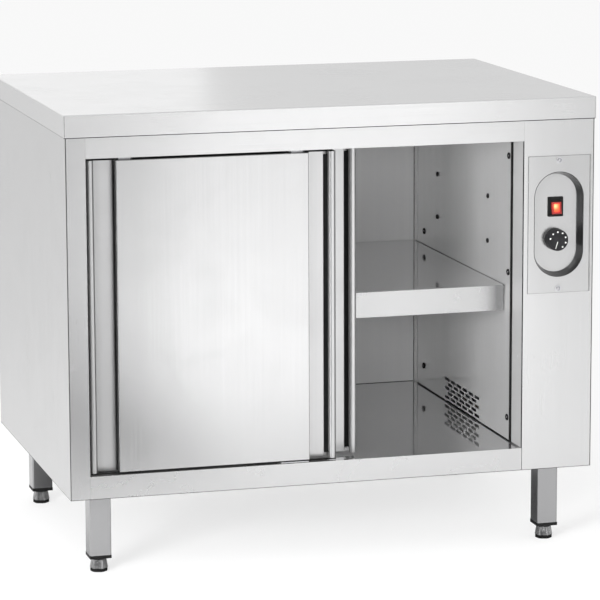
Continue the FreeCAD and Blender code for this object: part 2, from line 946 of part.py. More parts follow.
def foot_spindle(corner):
    body_top = mm.pad_height + mm.foot_body_height
    taper = mm.foot_body_taper
    body = new_body("foot_spindle_" + corner)
    revolve(body, [
        (0, mm.pad_height),
        (mm.foot_body_radius - taper, mm.pad_height),
        (mm.foot_body_radius, mm.pad_height + taper),
        (mm.foot_body_radius, body_top - 3 * taper),
        (mm.foot_body_radius - taper, body_top),
        (mm.spindle_radius, body_top),
        (mm.spindle_radius, body_top + mm.spindle_length),
        (0, body_top + mm.spindle_length),
    ])
    x, y = leg_place(corner)
    put(body, x, y)
    finish("foot_spindle_" + corner, body)


def foot_pad(corner):
    body = new_body("foot_pad_" + corner)
    revolve(body, [
        (0, 0),
        (mm.pad_radius - mm.pad_edge, 0),
        (mm.pad_radius, mm.pad_edge),
        (mm.pad_radius, mm.pad_height),
        (0, mm.pad_height),
    ])
    x, y = leg_place(corner)
    put(body, x, y)
    finish("foot_pad_" + corner, body)


# Doors: built in their own frame, x from the left edge, y from the front face, z from the bottom
door_bottom = sill_z + mm.door_bottom_gap
door_height = lintel_z - mm.door_top_gap - door_bottom
doors = {
    "front_door": (open_left + mm.door_side_gap, front_y + mm.door_setback),
    "rear_door": (
        open_left + mm.door_side_gap + mm.rear_door_offset,
        front_y + mm.door_setback + mm.door_thickness + mm.door_spacing,
    ),
}
groove_y = (
    (mm.door_thickness - mm.groove_width) / 2,
    (mm.door_thickness + mm.groove_width) / 2,
)
web_y = mm.door_thickness - mm.skin_gauge
flange_end = mm.grip_width - mm.strip_gap + mm.grip_flange


def guide_groove():
    return block((0, door_width), groove_y, (0, mm.groove_height))


def outer_skin(door):
    """The raised front pan of a door, open at the back, notched below for the floor guide."""
    left = mm.grip_width
    right = door_width - mm.grip_width
    gauge = mm.skin_gauge
    high = (0, door_height)
    body = new_body(door + "_front_pan")
    plan = new_sketch(body, "XY_Plane")
    outline(plan, [
        (left, 0),
        (right, 0),
        (right, web_y),
        (right - gauge, web_y),
        (right - gauge, gauge),
        (left + gauge, gauge),
        (left + gauge, web_y),
        (left, web_y),
    ])
    pad(body, plan, door_height)
    for level in (0, door_height - gauge):
        flat = new_sketch(body, "XY_Plane", level)
        rectangle(flat, (left + gauge, right - gauge), (gauge, groove_y[0]))
        pad(body, flat, gauge)

    def front_edge(edge):
        box = edge.BoundBox
        outside = at(box.XMin, left) or at(box.XMin, right)
        upright = box.XLength < 0.01 and outside
        level = box.ZLength < 0.01 and (at(box.ZMin, 0) or at(box.ZMin, door_height))
        return box.YLength < 0.01 and at(box.YMin, 0) and (upright or level)

    round_edges(body, front_edge, mm.panel_bend)
    for level in (0, door_height):
        slot = new_sketch(body, "XY_Plane", level)
        rectangle(slot, (left, right), groove_y)
        pocket(body, slot, mm.groove_height, backwards=not number_of(level))
    place_door(door, body)
    finish(door + "_outer_skin", body)


def inner_skin(door):
    gauge = mm.skin_gauge
    left = flange_end
    right = door_width - flange_end
    rear = block((left, right), (web_y, mm.door_thickness), (0, door_height))
    returns = [
        block((left, right), (groove_y[1], web_y), (level, level + gauge))
        for level in (0, door_height - gauge)
    ]
    skin = fuse([rear] + returns)
    place_door(door, skin)
    finish(door + "_inner_skin", skin)


def grip_points(side):
    """Plan outline of the folded grip: hollow nose, deep slot, recessed strip and flange."""
    def across(u):
        return u if side < 0 else door_width - u

    gauge = mm.skin_gauge
    nose = mm.nose_width
    front = mm.nose_setback
    hem = mm.nose_setback + mm.nose_depth
    start = mm.nose_width + mm.nose_slot
    end = mm.grip_width - mm.strip_gap
    strip = mm.pocket_depth
    back = mm.door_thickness
    path = [
        (nose, hem),
        (nose, front),
        (0, front),
        (0, back),
        (start + gauge, back),
        (start + gauge, strip + gauge),
        (end - gauge, strip + gauge),
        (end - gauge, back),
        (flange_end, back),
        (flange_end, web_y),
        (end, web_y),
        (end, strip),
        (start, strip),
        (start, web_y),
        (gauge, web_y),
        (gauge, front + gauge),
        (nose - gauge, front + gauge),
        (nose - gauge, hem),
    ]
    return [(across(u), v) for u, v in path]


def grip_body(door, side):
    """One folded grip, with the two small tabs that close its slot at the ends."""
    body = new_body(door + "_grip")
    plan = new_sketch(body, "XY_Plane")
    outline(plan, grip_points(side))
    pad(body, plan, door_height)
    edge = 0 if side < 0 else door_width
    inward = -side
    outer_x = (edge, edge + inward * mm.nose_width)
    inner_x = (edge + inward * mm.skin_gauge, edge + inward * (mm.nose_width - mm.skin_gauge))
    round_edges(body, upright_at(outer_x, (mm.nose_setback,)), mm.nose_radius)
    bend = mm.nose_radius - mm.skin_gauge
    round_edges(body, upright_at(inner_x, (mm.nose_setback + mm.skin_gauge,)), bend)
    strip_x = (
        edge + inward * (mm.nose_width + mm.nose_slot),
        edge + inward * (mm.grip_width - mm.strip_gap),
    )
    round_edges(body, upright_at(strip_x, (mm.pocket_depth,)), mm.strip_bend)
    for level in (0, door_height - mm.slot_closure):
        tab = new_sketch(body, "XY_Plane", level)
        tab_x = ordered((edge + inward * mm.nose_width, strip_x[0]))
        rectangle(tab, tab_x, (mm.pocket_depth + mm.strip_bend, web_y))
        pad(body, tab, mm.slot_closure)
    slot = new_sketch(body, "XY_Plane")
    rectangle(slot, (0, door_width), groove_y)
    pocket(body, slot, mm.groove_height, backwards=True)
    return body


def grips(door):
    pair = fuse([grip_body(door, -1), grip_body(door, 1)])
    place_door(door, pair)
    finish(door + "_grips", pair)


def grip_liners(door):
    """Black strips pressed into the slot beside each nose."""
    strips = []
    for side in (-1, 1):
        edge = 0 if side < 0 else door_width
        inward = -side
        near = edge + inward * (mm.skin_gauge + mm.liner_inset)
        far = edge + inward * (mm.nose_width + mm.nose_slot - mm.liner_inset)
        depth = (web_y - mm.liner_thickness, web_y)
        height = (mm.slot_closure, door_height - mm.slot_closure)
        strips.append(block((near, far), depth, height))
    liners = cut(fuse(strips), [guide_groove()])
    place_door(door, liners)
    finish(door + "_grip_liners", liners)


def place_door(door, thing):
    x, y = doors[door]
    put(thing, x, y, door_bottom)


def hanger_places():
    return (mm.hanger_inset, door_width - mm.hanger_inset)


track_top = roof_z
track_bottom = track_top - mm.track_height
lip_z = track_bottom + mm.track_gauge
axle_z = lip_z + mm.roller_float + mm.roller_radius - door_bottom
stem_y = (
    (mm.door_thickness - mm.hanger_thickness) / 2,
    (mm.door_thickness + mm.hanger_thickness) / 2,
)


def axle_span():
    reach = mm.hanger_thickness / 2 + mm.roller_side_gap * 2 + mm.roller_width
    return mm.door_thickness / 2 - reach, mm.door_thickness / 2 + reach


def hangers(door):
    """Two steel hangers, each a saddle under the door's top edge, a stem and a riveted axle."""
    pieces = []
    under = door_height - mm.skin_gauge
    for x in hanger_places():
        half = mm.saddle_width / 2
        saddle_z = (under - mm.saddle_thickness, under)
        saddle = block((x - half, x + half), (mm.skin_gauge, web_y), saddle_z)
        half = mm.hanger_width / 2
        stem = block((x - half, x + half), stem_y, (under - mm.saddle_thickness, axle_z + half))
        near, far = axle_span()
        pieces += [
            saddle,
            stem,
            rod("y", (x, axle_z), mm.axle_radius, (near, far)),
            rod("y", (x, axle_z), mm.axle_head_radius, (near - mm.axle_head, near)),
            rod("y", (x, axle_z), mm.axle_head_radius, (far, far + mm.axle_head)),
        ]
    group = fuse(pieces)
    place_door(door, group)
    finish(door + "_hangers", group)


def rollers(door, index, side_name):
    """The two nylon rollers of one hanger, one each side of its stem."""
    x = hanger_places()[index]
    pair = []
    for side in (-1, 1):
        near = mm.door_thickness / 2 + side * (mm.hanger_thickness / 2 + mm.roller_side_gap)
        span = (near, near + side * mm.roller_width)
        wheel = rod("y", (x, axle_z), mm.roller_radius, span)
        bore = rod("y", (x, axle_z), mm.axle_radius + mm.axle_clearance, span)
        pair.append(cut(wheel, [bore]))
    both = fuse(pair)
    place_door(door, both)
    finish("%s_%s_rollers" % (door, side_name), both)


def channel_centres():
    return [place[1] + mm.door_thickness / 2 for place in doors.values()]


def door_track():
    """Two roller channels side by side, hung under the top rail's flange."""
    across = (open_left, open_right)
    gauge = mm.track_gauge
    half = mm.track_width / 2
    centres = channel_centres()
    roof = block(across, (centres[0] - half, centres[1] + half), (track_top - gauge, track_top))
    pieces = [roof]
    for centre in centres:
        for side in (-1, 1):
            outer = centre + side * half
            wall = (outer, outer - side * gauge)
            lip = (outer, centre + side * mm.track_slot / 2)
            pieces.append(block(across, wall, (track_bottom, track_top)))
            pieces.append(block(across, lip, (track_bottom, lip_z)))
    finish("door_track", fuse(pieces))


def door_travel():
    """How far each door runs to the right from where it rests."""
    right = open_right - mm.door_side_gap
    return [right - door_width - place[0] for place in doors.values()]


def door_buffers():
    """Rubber stops in the channels, where each door's hangers meet them at the two ends."""
    stops = []
    half = mm.track_width / 2 - mm.track_gauge - mm.buffer_fit
    reach = mm.hanger_width / 2 + mm.buffer_gap
    height = (lip_z, track_top - mm.track_gauge)
    for place, centre, travel in zip(doors.values(), channel_centres(), door_travel()):
        left = place[0] + mm.hanger_inset - reach
        right = place[0] + travel + door_width - mm.hanger_inset + reach
        for face, side in ((left, -1), (right, 1)):
            span = (face, face + side * mm.buffer_length)
            stops.append(block(span, (centre - half, centre + half), height))
    finish("door_buffers", fuse(stops))


def bottom_guide():
    """A slippery block on the floor: its two fins run in the grooves under the doors."""
    left = open_right - mm.door_side_gap - door_width + mm.guide_inset
    across = (left, left + mm.guide_length)
    fin_half = mm.guide_fin / 2
    centres = channel_centres()
    near = centres[0] - fin_half - mm.guide_margin
    far = centres[1] + fin_half + mm.guide_margin
    base_top = floor_z + mm.guide_base
    base = block(across, (near, far), (floor_z, base_top))
    fins = [
        block(across, (centre - fin_half, centre + fin_half), (base_top, base_top + mm.guide_fin_height))
        for centre in centres
    ]
    finish("bottom_guide", fuse([base] + fins))


# Shelf
def shelf():
    """A tray of one sheet: deep lips at the front and back, low notched sides that sit on the pegs."""
    gauge = mm.gauge
    left = open_left + mm.shelf_side_gap
    right = open_right - mm.shelf_side_gap
    front = liner_y + mm.shelf_front
    rear = wall_y - mm.shelf_side_gap
    top = shelf_top
    bottom = top - mm.shelf_lip
    body = new_body("shelf")
    profile = new_sketch(body, "YZ_Plane", left)
    outline(profile, [
        (front, top),
        (rear, top),
        (rear, bottom),
        (rear - mm.shelf_hem, bottom),
        (rear - mm.shelf_hem, bottom + gauge),
        (rear - gauge, bottom + gauge),
        (rear - gauge, top - gauge),
        (front + gauge, top - gauge),
        (front + gauge, bottom + gauge),
        (front + mm.shelf_hem, bottom + gauge),
        (front + mm.shelf_hem, bottom),
        (front, bottom),
    ])
    pad(body, profile, right - left)

    def lip_edge(edge):
        box = edge.BoundBox
        along = box.YLength < 0.01 and box.ZLength < 0.01
        return along and at(box.YMin, front) and (at(box.ZMin, top) or at(box.ZMin, bottom))

    round_edges(body, lip_edge, gauge)
    for start in (left, right - gauge):
        turned = new_sketch(body, "YZ_Plane", start)
        rectangle(turned, (front + gauge, rear - gauge), (top - mm.shelf_side_flange, top - gauge))
        pad(body, turned, gauge)
    notch_half = mm.peg_radius + mm.shelf_notch_gap
    bottom_edge = top - mm.shelf_side_flange
    for start in (left, right - gauge):
        notches = new_sketch(body, "YZ_Plane", start)
        for centre in (peg_front_y, peg_rear_y):
            width = (centre - notch_half, centre + notch_half)
            rectangle(notches, width, (bottom_edge - mm.cut_overrun, bottom_edge + mm.shelf_notch))
        pocket(body, notches, gauge, backwards=True)
    finish("shelf", body)


def shelf_pegs():
    """Turned studs through the side walls: shank, collar that carries the shelf, and head."""
    pegs = []
    for face, side in ((open_left, 1), (open_right, -1)):
        for y in (peg_front_y, peg_rear_y):
            centre = (y, peg_z)
            end = face + side * mm.peg_length
            pegs.append(fuse([
                rod("x", centre, mm.peg_shank_radius, (face - side * mm.peg_shank_length, face)),
                rod("x", centre, mm.peg_radius, (face, end)),
                rod("x", centre, mm.peg_head_radius, (end, end + side * mm.peg_head)),
            ]))
    finish("shelf_pegs", fuse(pegs))


# Screws
def plate_screw_places():
    half = mm.tub_height / 2 + mm.plate_screw_edge
    return [(control_x, control_z - half), (control_x, control_z + half)]


def cover_screw_places():
    left, right = service_span()
    lap = mm.cover_overlap / 2
    bottom, top = service_levels()
    return [(x, z) for x in (left - lap, right + lap) for z in (bottom, (bottom + top) / 2, top)]


def screw(axis, face, side, centre, height):
    """A flat-headed screw: its head stands on the face, its shank goes the other way."""
    head = rod(axis, centre, mm.screw_head_radius, (face, face + side * height))
    shank = rod(axis, centre, mm.screw_shank_radius, (face - side * mm.screw_shank_length, face))
    return fuse([head, shank])


def screws():
    group = []
    for x, z in plate_screw_places():
        group.append(screw("y", front_y - mm.plate_gauge, -1, (x, z), mm.screw_head))
    for x, z in cover_screw_places():
        group.append(screw("y", back_y + mm.gauge, 1, (x, z), mm.screw_head))
    for face, side in ((open_left, 1), (open_right, -1)):
        for y, z in wall_screw_places():
            group.append(screw("x", face, side, (y, z), mm.wall_screw_head))
    finish("screws", fuse(group))


# Controls
def control_plate():
    """A plate with a pressed tub, which holds the switch and the thermostat knob."""
    half_x = mm.tub_width / 2 + mm.plate_side_edge
    half_z = mm.tub_height / 2 + mm.plate_end_edge
    middle = (control_x, control_z)
    body = new_body("control_plate")
    plate = new_sketch(body, "XZ_Plane", -front_y)
    rectangle(plate, (control_x - half_x, control_x + half_x), (middle[1] - half_z, middle[1] + half_z))
    pad(body, plate, mm.plate_gauge)

    def corner(edge):
        box = edge.BoundBox
        return box.XLength < 0.01 and box.ZLength < 0.01

    round_edges(body, corner, mm.plate_corner)
    front = front_y - mm.plate_gauge

    def front_rim(edge):
        box = edge.BoundBox
        return box.YLength < 0.01 and at(box.YMin, front)

    round_edges(body, front_rim, mm.plate_edge)
    shell = new_sketch(body, "XZ_Plane", -front_y)
    long_hole(shell, middle, mm.tub_height + 2 * mm.gauge, mm.tub_width + 2 * mm.gauge, upright=True)
    pad(body, shell, mm.tub_depth - mm.plate_gauge + mm.gauge, backwards=True, taper=-mm.tub_draft)
    hollow = new_sketch(body, "XZ_Plane", -front)
    long_hole(hollow, middle, mm.tub_height, mm.tub_width, upright=True)
    pocket(body, hollow, mm.tub_depth, taper=-mm.tub_draft)
    window = new_sketch(body, "XZ_Plane", -tub_y)
    half_w = mm.switch_body_width / 2
    half_h = mm.switch_body_height / 2
    rectangle(window, (control_x - half_w, control_x + half_w), (switch_z - half_h, switch_z + half_h))
    pocket(body, window, mm.gauge)
    radius = mm.shaft_radius + mm.shaft_clearance
    punch(body, "XZ_Plane", -tub_y, [(control_x, knob_z)], radius, mm.gauge)
    radius = mm.screw_shank_radius + mm.screw_hole_gap
    punch(body, "XZ_Plane", -front, plate_screw_places(), radius, mm.plate_gauge)
    finish("control_plate", body)


rocker_y = tub_y - mm.bezel_depth + mm.rocker_pivot_depth
rocker_z = switch_z - mm.rocker_drop


def switch_housing():
    """A black bezel and body, with a well in which the rocker tilts."""
    half_x = mm.bezel_width / 2
    half_z = mm.bezel_height / 2
    body = new_body("switch_housing")
    bezel = new_sketch(body, "XZ_Plane", -tub_y)
    rectangle(bezel, (control_x - half_x, control_x + half_x), (switch_z - half_z, switch_z + half_z))
    pad(body, bezel, mm.bezel_depth)

    def corner(edge):
        box = edge.BoundBox
        return box.XLength < 0.01 and box.ZLength < 0.01

    round_edges(body, corner, mm.bezel_corner)
    half_x = mm.switch_body_width / 2
    half_z = mm.switch_body_height / 2
    rear = new_sketch(body, "XZ_Plane", -tub_y)
    rectangle(rear, (control_x - half_x, control_x + half_x), (switch_z - half_z, switch_z + half_z))
    pad(body, rear, mm.switch_body_depth, backwards=True)
    well_x = mm.rocker_width / 2 + mm.rocker_gap
    well_z = mm.rocker_height / 2 + mm.rocker_swing
    well = new_sketch(body, "XZ_Plane", mm.bezel_depth - tub_y)
    rectangle(well, (control_x - well_x, control_x + well_x), (rocker_z - well_z, rocker_z + well_z))
    pocket(body, well, mm.well_depth)
    reach = mm.rocker_width / 2 + mm.rocker_pin_length + mm.rocker_gap
    bearing = new_sketch(body, "YZ_Plane", control_x + reach)
    circle(bearing, (rocker_y, rocker_z), mm.rocker_pin_radius + mm.rocker_pin_clearance)
    pocket(body, bearing, 2 * reach)
    finish("switch_housing", body)


def switch_rocker():
    """The lit rocker, in its own frame about its pivot, tilted to its on position."""
    half = mm.rocker_height / 2
    crown = mm.rocker_crown + mm.rocker_pivot_depth
    rise = crown + mm.rocker_rise
    body = new_body("switch_rocker")
    profile = new_sketch(body, "YZ_Plane")
    outline(profile, [
        (-rise, -half),
        (-crown, 0),
        (-rise, half),
        (0, half),
        (mm.rocker_back, half / 2),
        (mm.rocker_back, -half / 2),
        (0, -half),
    ])
    pad(body, profile, mm.rocker_width, midplane=True)
    pin = new_sketch(body, "YZ_Plane")
    circle(pin, (0, 0), mm.rocker_pin_radius)
    pad(body, pin, mm.rocker_width + 2 * mm.rocker_pin_length, midplane=True)
    body.Placement = Placement(Vector(), Rotation(Vector(-1, 0, 0), mm.rocker_tilt.number))
    bind(body, "Placement.Rotation.Angle", mm.rocker_tilt)
    put(body, control_x, rocker_y, rocker_z)
    finish("switch_rocker", body)


def thermostat_knob():
    """A round knob with a slight taper, bored from behind for the shaft."""
    body = new_body("thermostat_knob")
    bore = mm.shaft_radius
    rim = mm.knob_radius
    face = mm.knob_radius - mm.knob_draft
    revolve(body, [
        (bore, 0),
        (rim, 0),
        (face, mm.knob_height - mm.knob_edge),
        (face - mm.knob_edge, mm.knob_height),
        (0, mm.knob_height),
        (0, mm.knob_bore_depth),
        (bore, mm.knob_bore_depth),
    ])
    body.Placement = Placement(Vector(), Rotation(Vector(1, 0, 0), 90))
    put(body, control_x, tub_y - mm.knob_gap, knob_z)
    finish("thermostat_knob", body)


def thermostat_shaft():
    start = tub_y - mm.knob_gap - mm.knob_bore_depth
    end = tub_y + mm.gauge + mm.shaft_inner_length
    finish("thermostat_shaft", rod("y", (control_x, knob_z), mm.shaft_radius, (start, end)))


def thermostat_body():
    half = mm.thermostat_side / 2
    front = tub_y + mm.gauge
    case = block(
        (control_x - half, control_x + half),
        (front, front + mm.thermostat_depth),
        (knob_z - half, knob_z + half),
    )
    radius = mm.shaft_radius + mm.shaft_clearance
    socket = rod("y", (control_x, knob_z), radius, (front, front + mm.shaft_inner_length))
    finish("thermostat_body", cut(case, [socket]))


def thermostat_sensor():
    """A fluid bulb clipped behind the partition, with its capillary up to the thermostat."""
    wall = open_right + mm.gauge
    bulb_x = wall + mm.bulb_radius
    bulb_z = floor_z + mm.bulb_height
    front = liner_y + mm.bulb_front_inset
    bulb = Part.makeCylinder(
        mm.bulb_radius.number, mm.bulb_length.number, spot(bulb_x, front, bulb_z), Vector(0, 1, 0)
    )
    leave = tub_y + mm.gauge + mm.thermostat_depth
    low = knob_z - mm.thermostat_side / 2 + 2 * mm.bulb_radius
    turn_y = leave + mm.capillary_drop
    line = bent_tube(
        [
            spot(control_x, leave, low),
            spot(control_x, turn_y, low),
            spot(bulb_x, turn_y, low),
            spot(bulb_x, turn_y, bulb_z),
            spot(bulb_x, front, bulb_z),
        ],
        mm.capillary_radius.number,
        mm.capillary_bend.number,
    )
    part = doc.addObject("Part::Feature", "thermostat_sensor")
    part.Shape = bulb.fuse(line).removeSplitter()
    finish("thermostat_sensor", part)


# Fan heater behind the grille
duct_bottom = floor_z - mm.duct_drop
duct_span = (grille_span()[0] - mm.duct_margin, grille_span()[1] + mm.duct_margin)
fan_x = open_right + mm.fan_axis_reach
fan_z = floor_z + mm.fan_axis_height
heater_x = open_right + mm.heater_reach


def heater_levels():
    lower = duct_bottom + mm.heater_rise
    return lower, lower + 2 * mm.heater_bend


def fan_shell():
    """The cross-flow fan's casing and the duct that leads its air to the grille."""
    wall = open_right + mm.gauge
    along = duct_span
    gauge = mm.gauge
    inner_y = (along[0] + gauge, along[1] - gauge)
    duct_top = duct_bottom + mm.duct_height
    duct_x = (wall, fan_x - mm.fan_shell + gauge)
    duct = block(duct_x, along, (duct_bottom, duct_top))
    half = mm.fan_shell
    drum_x = (fan_x - half, fan_x + half)
    drum_z = (fan_z - half, fan_z + half)
    drum = block(drum_x, along, drum_z)
    passage_x = (wall, fan_x)
    passage = block(passage_x, inner_y, (duct_bottom + gauge, duct_top - gauge))
    centre = (fan_x, fan_z)
    chamber = rod("y", centre, mm.fan_radius + mm.fan_bore_gap, inner_y)
    intake_z = (fan_z, fan_z + half)
    intake_x = (fan_x - mm.fan_radius / 2, fan_x + mm.fan_radius / 2)
    intake = block(intake_x, inner_y, intake_z)
    radius = mm.fan_shaft_radius + mm.fan_shaft_clearance
    shaft_hole = rod("y", centre, radius, along)
    tools = [passage, chamber, intake, shaft_hole]
    for height in heater_levels():
        tools.append(rod("y", (heater_x, height), mm.heater_radius, (inner_y[1], along[1])))
    finish("fan_housing", cut(fuse([duct, drum]), tools))


def fan_impeller():
    """A drum of thin blades between two end discs, on one shaft."""
    centre = (fan_x, fan_z)
    start = duct_span[0] + mm.gauge + mm.fan_end_gap
    end = start + mm.fan_length
    disc = mm.fan_blade / 2
    shaft_end = duct_span[1] + mm.motor_length / 2
    shaft_start = duct_span[0]
    pieces = [
        rod("y", centre, mm.fan_radius, (start, start + disc)),
        rod("y", centre, mm.fan_radius, (end - disc, end)),
        rod("y", centre, mm.fan_shaft_radius, (shaft_start, shaft_end)),
    ]
    x, z = centre
    ring = mm.fan_radius - mm.fan_blade / 2
    for index in range(blade_count):
        angle = 2 * math.pi * index / blade_count
        blade_x = x + math.cos(angle) * ring
        blade_z = z + math.sin(angle) * ring
        half = mm.fan_blade / 4
        pieces.append(rod("y", (blade_x, blade_z), half, (start, end)))
    finish("fan_impeller", fuse(pieces))


def fan_motor():
    centre = (fan_x, fan_z)
    rear = duct_span[1] + mm.motor_length
    case = rod("y", centre, mm.motor_radius, (duct_span[1], rear))
    half = mm.motor_foot / 2
    foot_x = (fan_x - half, fan_x + half)
    foot = block(foot_x, (duct_span[1], rear), (panel_z + mm.gauge, fan_z))
    radius = mm.fan_shaft_radius + mm.fan_shaft_clearance
    hole = rod("y", centre, radius, (duct_span[1], duct_span[1] + mm.motor_length / 2))
    finish("fan_motor", cut(fuse([case, foot]), [hole]))


def heating_element():
    """A hairpin of sheathed rod in the duct, between the fan and the grille."""
    bend = mm.heater_bend
    lower, upper = heater_levels()
    front = duct_span[0] + mm.gauge + mm.heater_end_gap
    rear = duct_span[1] + mm.heater_stub
    part = doc.addObject("Part::Feature", "heating_element")
    part.Shape = bent_tube(
        [
            spot(heater_x, rear, lower),
            spot(heater_x, front, lower),
            spot(heater_x, front, upper),
            spot(heater_x, rear, upper),
        ],
        mm.heater_radius.number,
        bend.number * heater_bend_share,
    )
    finish("heating_element", part)


def terminal_block():
    length = mm.terminal_length / 2
    width = mm.terminal_width / 2
    bottom = panel_z + mm.gauge
    middle = wall_y - mm.terminal_inset
    base = block(
        (control_x - width, control_x + width),
        (middle - length, middle + length),
        (bottom, bottom + mm.terminal_height),
    )
    finish("terminal_block", base)


def cable_gland():
    """The gland of the mains lead, under the casing at the right rear."""
    centre = gland_place()
    under = panel_z
    above = panel_z + mm.gauge
    pieces = [
        rod("z", centre, mm.gland_radius, (under - mm.gland_length, under)),
        rod("z", centre, mm.gland_dome_radius, (under - mm.gland_length - mm.gland_dome, under)),
        rod("z", centre, mm.gland_thread_radius, (under, above + mm.gland_thread_length)),
        rod("z", centre, mm.gland_radius, (above, above + mm.gland_nut)),
    ]
    finish("cable_gland", fuse(pieces))


# Build
def build():
    worktop()
    worktop_stiffeners()
    left_side_panel()
    right_side_panel()
    top_rail()
    floor_pan()
    underside_panel()
    back_panel()
    service_cover()
    left_inner_wall()
    partition_wall()
    inner_back_wall()
    inner_ceiling()
    insulation_boards()
    for corner in leg_corners:
        leg(corner)
        foot_spindle(corner)
        foot_pad(corner)
    leg_end_caps()
    for door in doors:
        outer_skin(door)
        inner_skin(door)
        grips(door)
        grip_liners(door)
        hangers(door)
        rollers(door, 0, "left")
        rollers(door, 1, "right")
    door_track()
    door_buffers()
    bottom_guide()
    shelf()
    shelf_pegs()
    screws()
    control_plate()
    switch_housing()
    switch_rocker()
    thermostat_knob()
    thermostat_shaft()
    thermostat_body()
    thermostat_sensor()
    fan_shell()
    fan_impeller()
    fan_motor()
    heating_element()
    terminal_block()
    cable_gland()


def check():
    for thing in doc.Objects:
        if "Invalid" in thing.State or "Error" in thing.State:
            raise RuntimeError("%s (%s) failed" % (thing.Name, thing.Label))
    for thing in nodes:
        if thing.Shape.isNull() or not thing.Shape.isValid() or not thing.Shape.Solids:
            raise RuntimeError("%s has no valid solid" % thing.Label)


def export():
    os.makedirs("parts", exist_ok=True)
    for thing in nodes:
        thing.Shape.exportStep("parts/%s.step" % thing.Label)
        print("%-34s %2d solids  %9.0f mm3" % (thing.Label, len(thing.Shape.Solids), thing.Shape.Volume))


build()
doc.recompute()
check()
export()
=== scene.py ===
import json
import math
import bmesh
import bpy
from mathutils import Matrix, Vector


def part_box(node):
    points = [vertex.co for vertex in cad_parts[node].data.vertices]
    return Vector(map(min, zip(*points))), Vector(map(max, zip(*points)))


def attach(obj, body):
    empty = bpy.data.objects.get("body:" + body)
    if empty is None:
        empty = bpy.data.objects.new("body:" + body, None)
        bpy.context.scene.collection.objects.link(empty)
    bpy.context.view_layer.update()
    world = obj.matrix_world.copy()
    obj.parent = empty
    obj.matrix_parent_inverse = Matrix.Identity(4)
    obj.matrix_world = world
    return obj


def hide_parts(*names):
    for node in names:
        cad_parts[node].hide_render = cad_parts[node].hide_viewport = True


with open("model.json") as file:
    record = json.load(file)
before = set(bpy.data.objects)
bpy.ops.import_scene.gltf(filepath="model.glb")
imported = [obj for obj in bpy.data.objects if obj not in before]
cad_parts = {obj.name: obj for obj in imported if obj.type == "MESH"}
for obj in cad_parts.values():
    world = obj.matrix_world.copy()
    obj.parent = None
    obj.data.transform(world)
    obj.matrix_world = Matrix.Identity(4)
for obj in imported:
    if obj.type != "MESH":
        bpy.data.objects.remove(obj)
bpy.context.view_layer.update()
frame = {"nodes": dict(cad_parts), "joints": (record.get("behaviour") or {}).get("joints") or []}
nodes = frame["nodes"]
joints = {joint["name"]: joint for joint in frame["joints"]}
mm = 0.001


def inMm(lengths):
    return {name: value * mm for name, value in lengths.items()}


print("frame loaded:", len(nodes), "nodes")


# Camera: the place and turn that fit the photograph's corners
cameraView = {
    "place": (-1.6130, -5.8850, 1.5360), "yawDegrees": 15.59, "pitchDegrees": -10.24, "rollDegrees": -0.22,
    "focalPixels": 3217, "framePixels": 600, "sensorMm": 36, "clipEnd": 200,
}


def makeCamera():
    yaw = math.radians(cameraView["yawDegrees"])
    pitch = math.radians(cameraView["pitchDegrees"])
    roll = math.radians(cameraView["rollDegrees"])
    level = Vector((math.sin(yaw), math.cos(yaw), 0))
    aim = math.cos(pitch) * level + math.sin(pitch) * Vector((0, 0, 1))
    across = Vector((math.cos(yaw), -math.sin(yaw), 0))
    above = across.cross(aim)
    right = math.cos(roll) * across + math.sin(roll) * above
    up = math.cos(roll) * above - math.sin(roll) * across
    turn = Matrix((right, up, -aim)).transposed()
    data = bpy.data.cameras.new("photoCamera")
    data.sensor_width = cameraView["sensorMm"]
    data.lens = cameraView["focalPixels"] * cameraView["sensorMm"] / cameraView["framePixels"]
    data.clip_end = cameraView["clipEnd"]
    camera = bpy.data.objects.new("photoCamera", data)
    camera.matrix_world = Matrix.Translation(cameraView["place"]) @ turn.to_4x4()
    bpy.context.scene.collection.objects.link(camera)
    bpy.context.scene.camera = camera


# Small helpers for node trees
noiseSpan = (0.3, 0.7)  # most values of a noise texture lie in here


def feed(tree, socket, value):
    if isinstance(value, bpy.types.NodeSocket):
        tree.links.new(value, socket)
    else:
        socket.default_value = value


def add(tree, kind, inputs=None, **settings):
    node = tree.nodes.new(kind)
    for name, value in settings.items():
        setattr(node, name, value)
    for socket, value in (inputs or {}).items():
        feed(tree, node.inputs[socket], value)
    return node


def calc(tree, operation, *values, clamp=False):
    inputs = dict(enumerate(values))
    return add(tree, "ShaderNodeMath", inputs, operation=operation, use_clamp=clamp).outputs[0]


def times(tree, first, second):
    return calc(tree, "MULTIPLY", first, second)


def timesPlus(tree, first, second, more):
    return calc(tree, "MULTIPLY_ADD", first, second, more)


def mixValues(tree, factor, low, high):
    return add(tree, "ShaderNodeMix", {0: factor, 2: low, 3: high}, data_type="FLOAT").outputs[0]


def mixVectors(tree, factor, low, high):
    return add(tree, "ShaderNodeMix", {0: factor, 4: low, 5: high}, data_type="VECTOR").outputs[1]


def mixColours(tree, factor, low, high):
    return add(tree, "ShaderNodeMix", {0: factor, 6: low, 7: high}, data_type="RGBA").outputs[2]


def mixShaders(tree, factor, low, high):
    return add(tree, "ShaderNodeMixShader", {0: factor, 1: low, 2: high}).outputs[0]


def split(tree, vector):
    return add(tree, "ShaderNodeSeparateXYZ", {0: vector}).outputs


def combine(tree, parts):
    return add(tree, "ShaderNodeCombineXYZ", dict(enumerate(parts))).outputs[0]


def remap(tree, value, fromLow, fromHigh, toLow=0.0, toHigh=1.0):
    inputs = {"Value": value, "From Min": fromLow, "From Max": fromHigh, "To Min": toLow, "To Max": toHigh}
    return add(tree, "ShaderNodeMapRange", inputs).outputs[0]


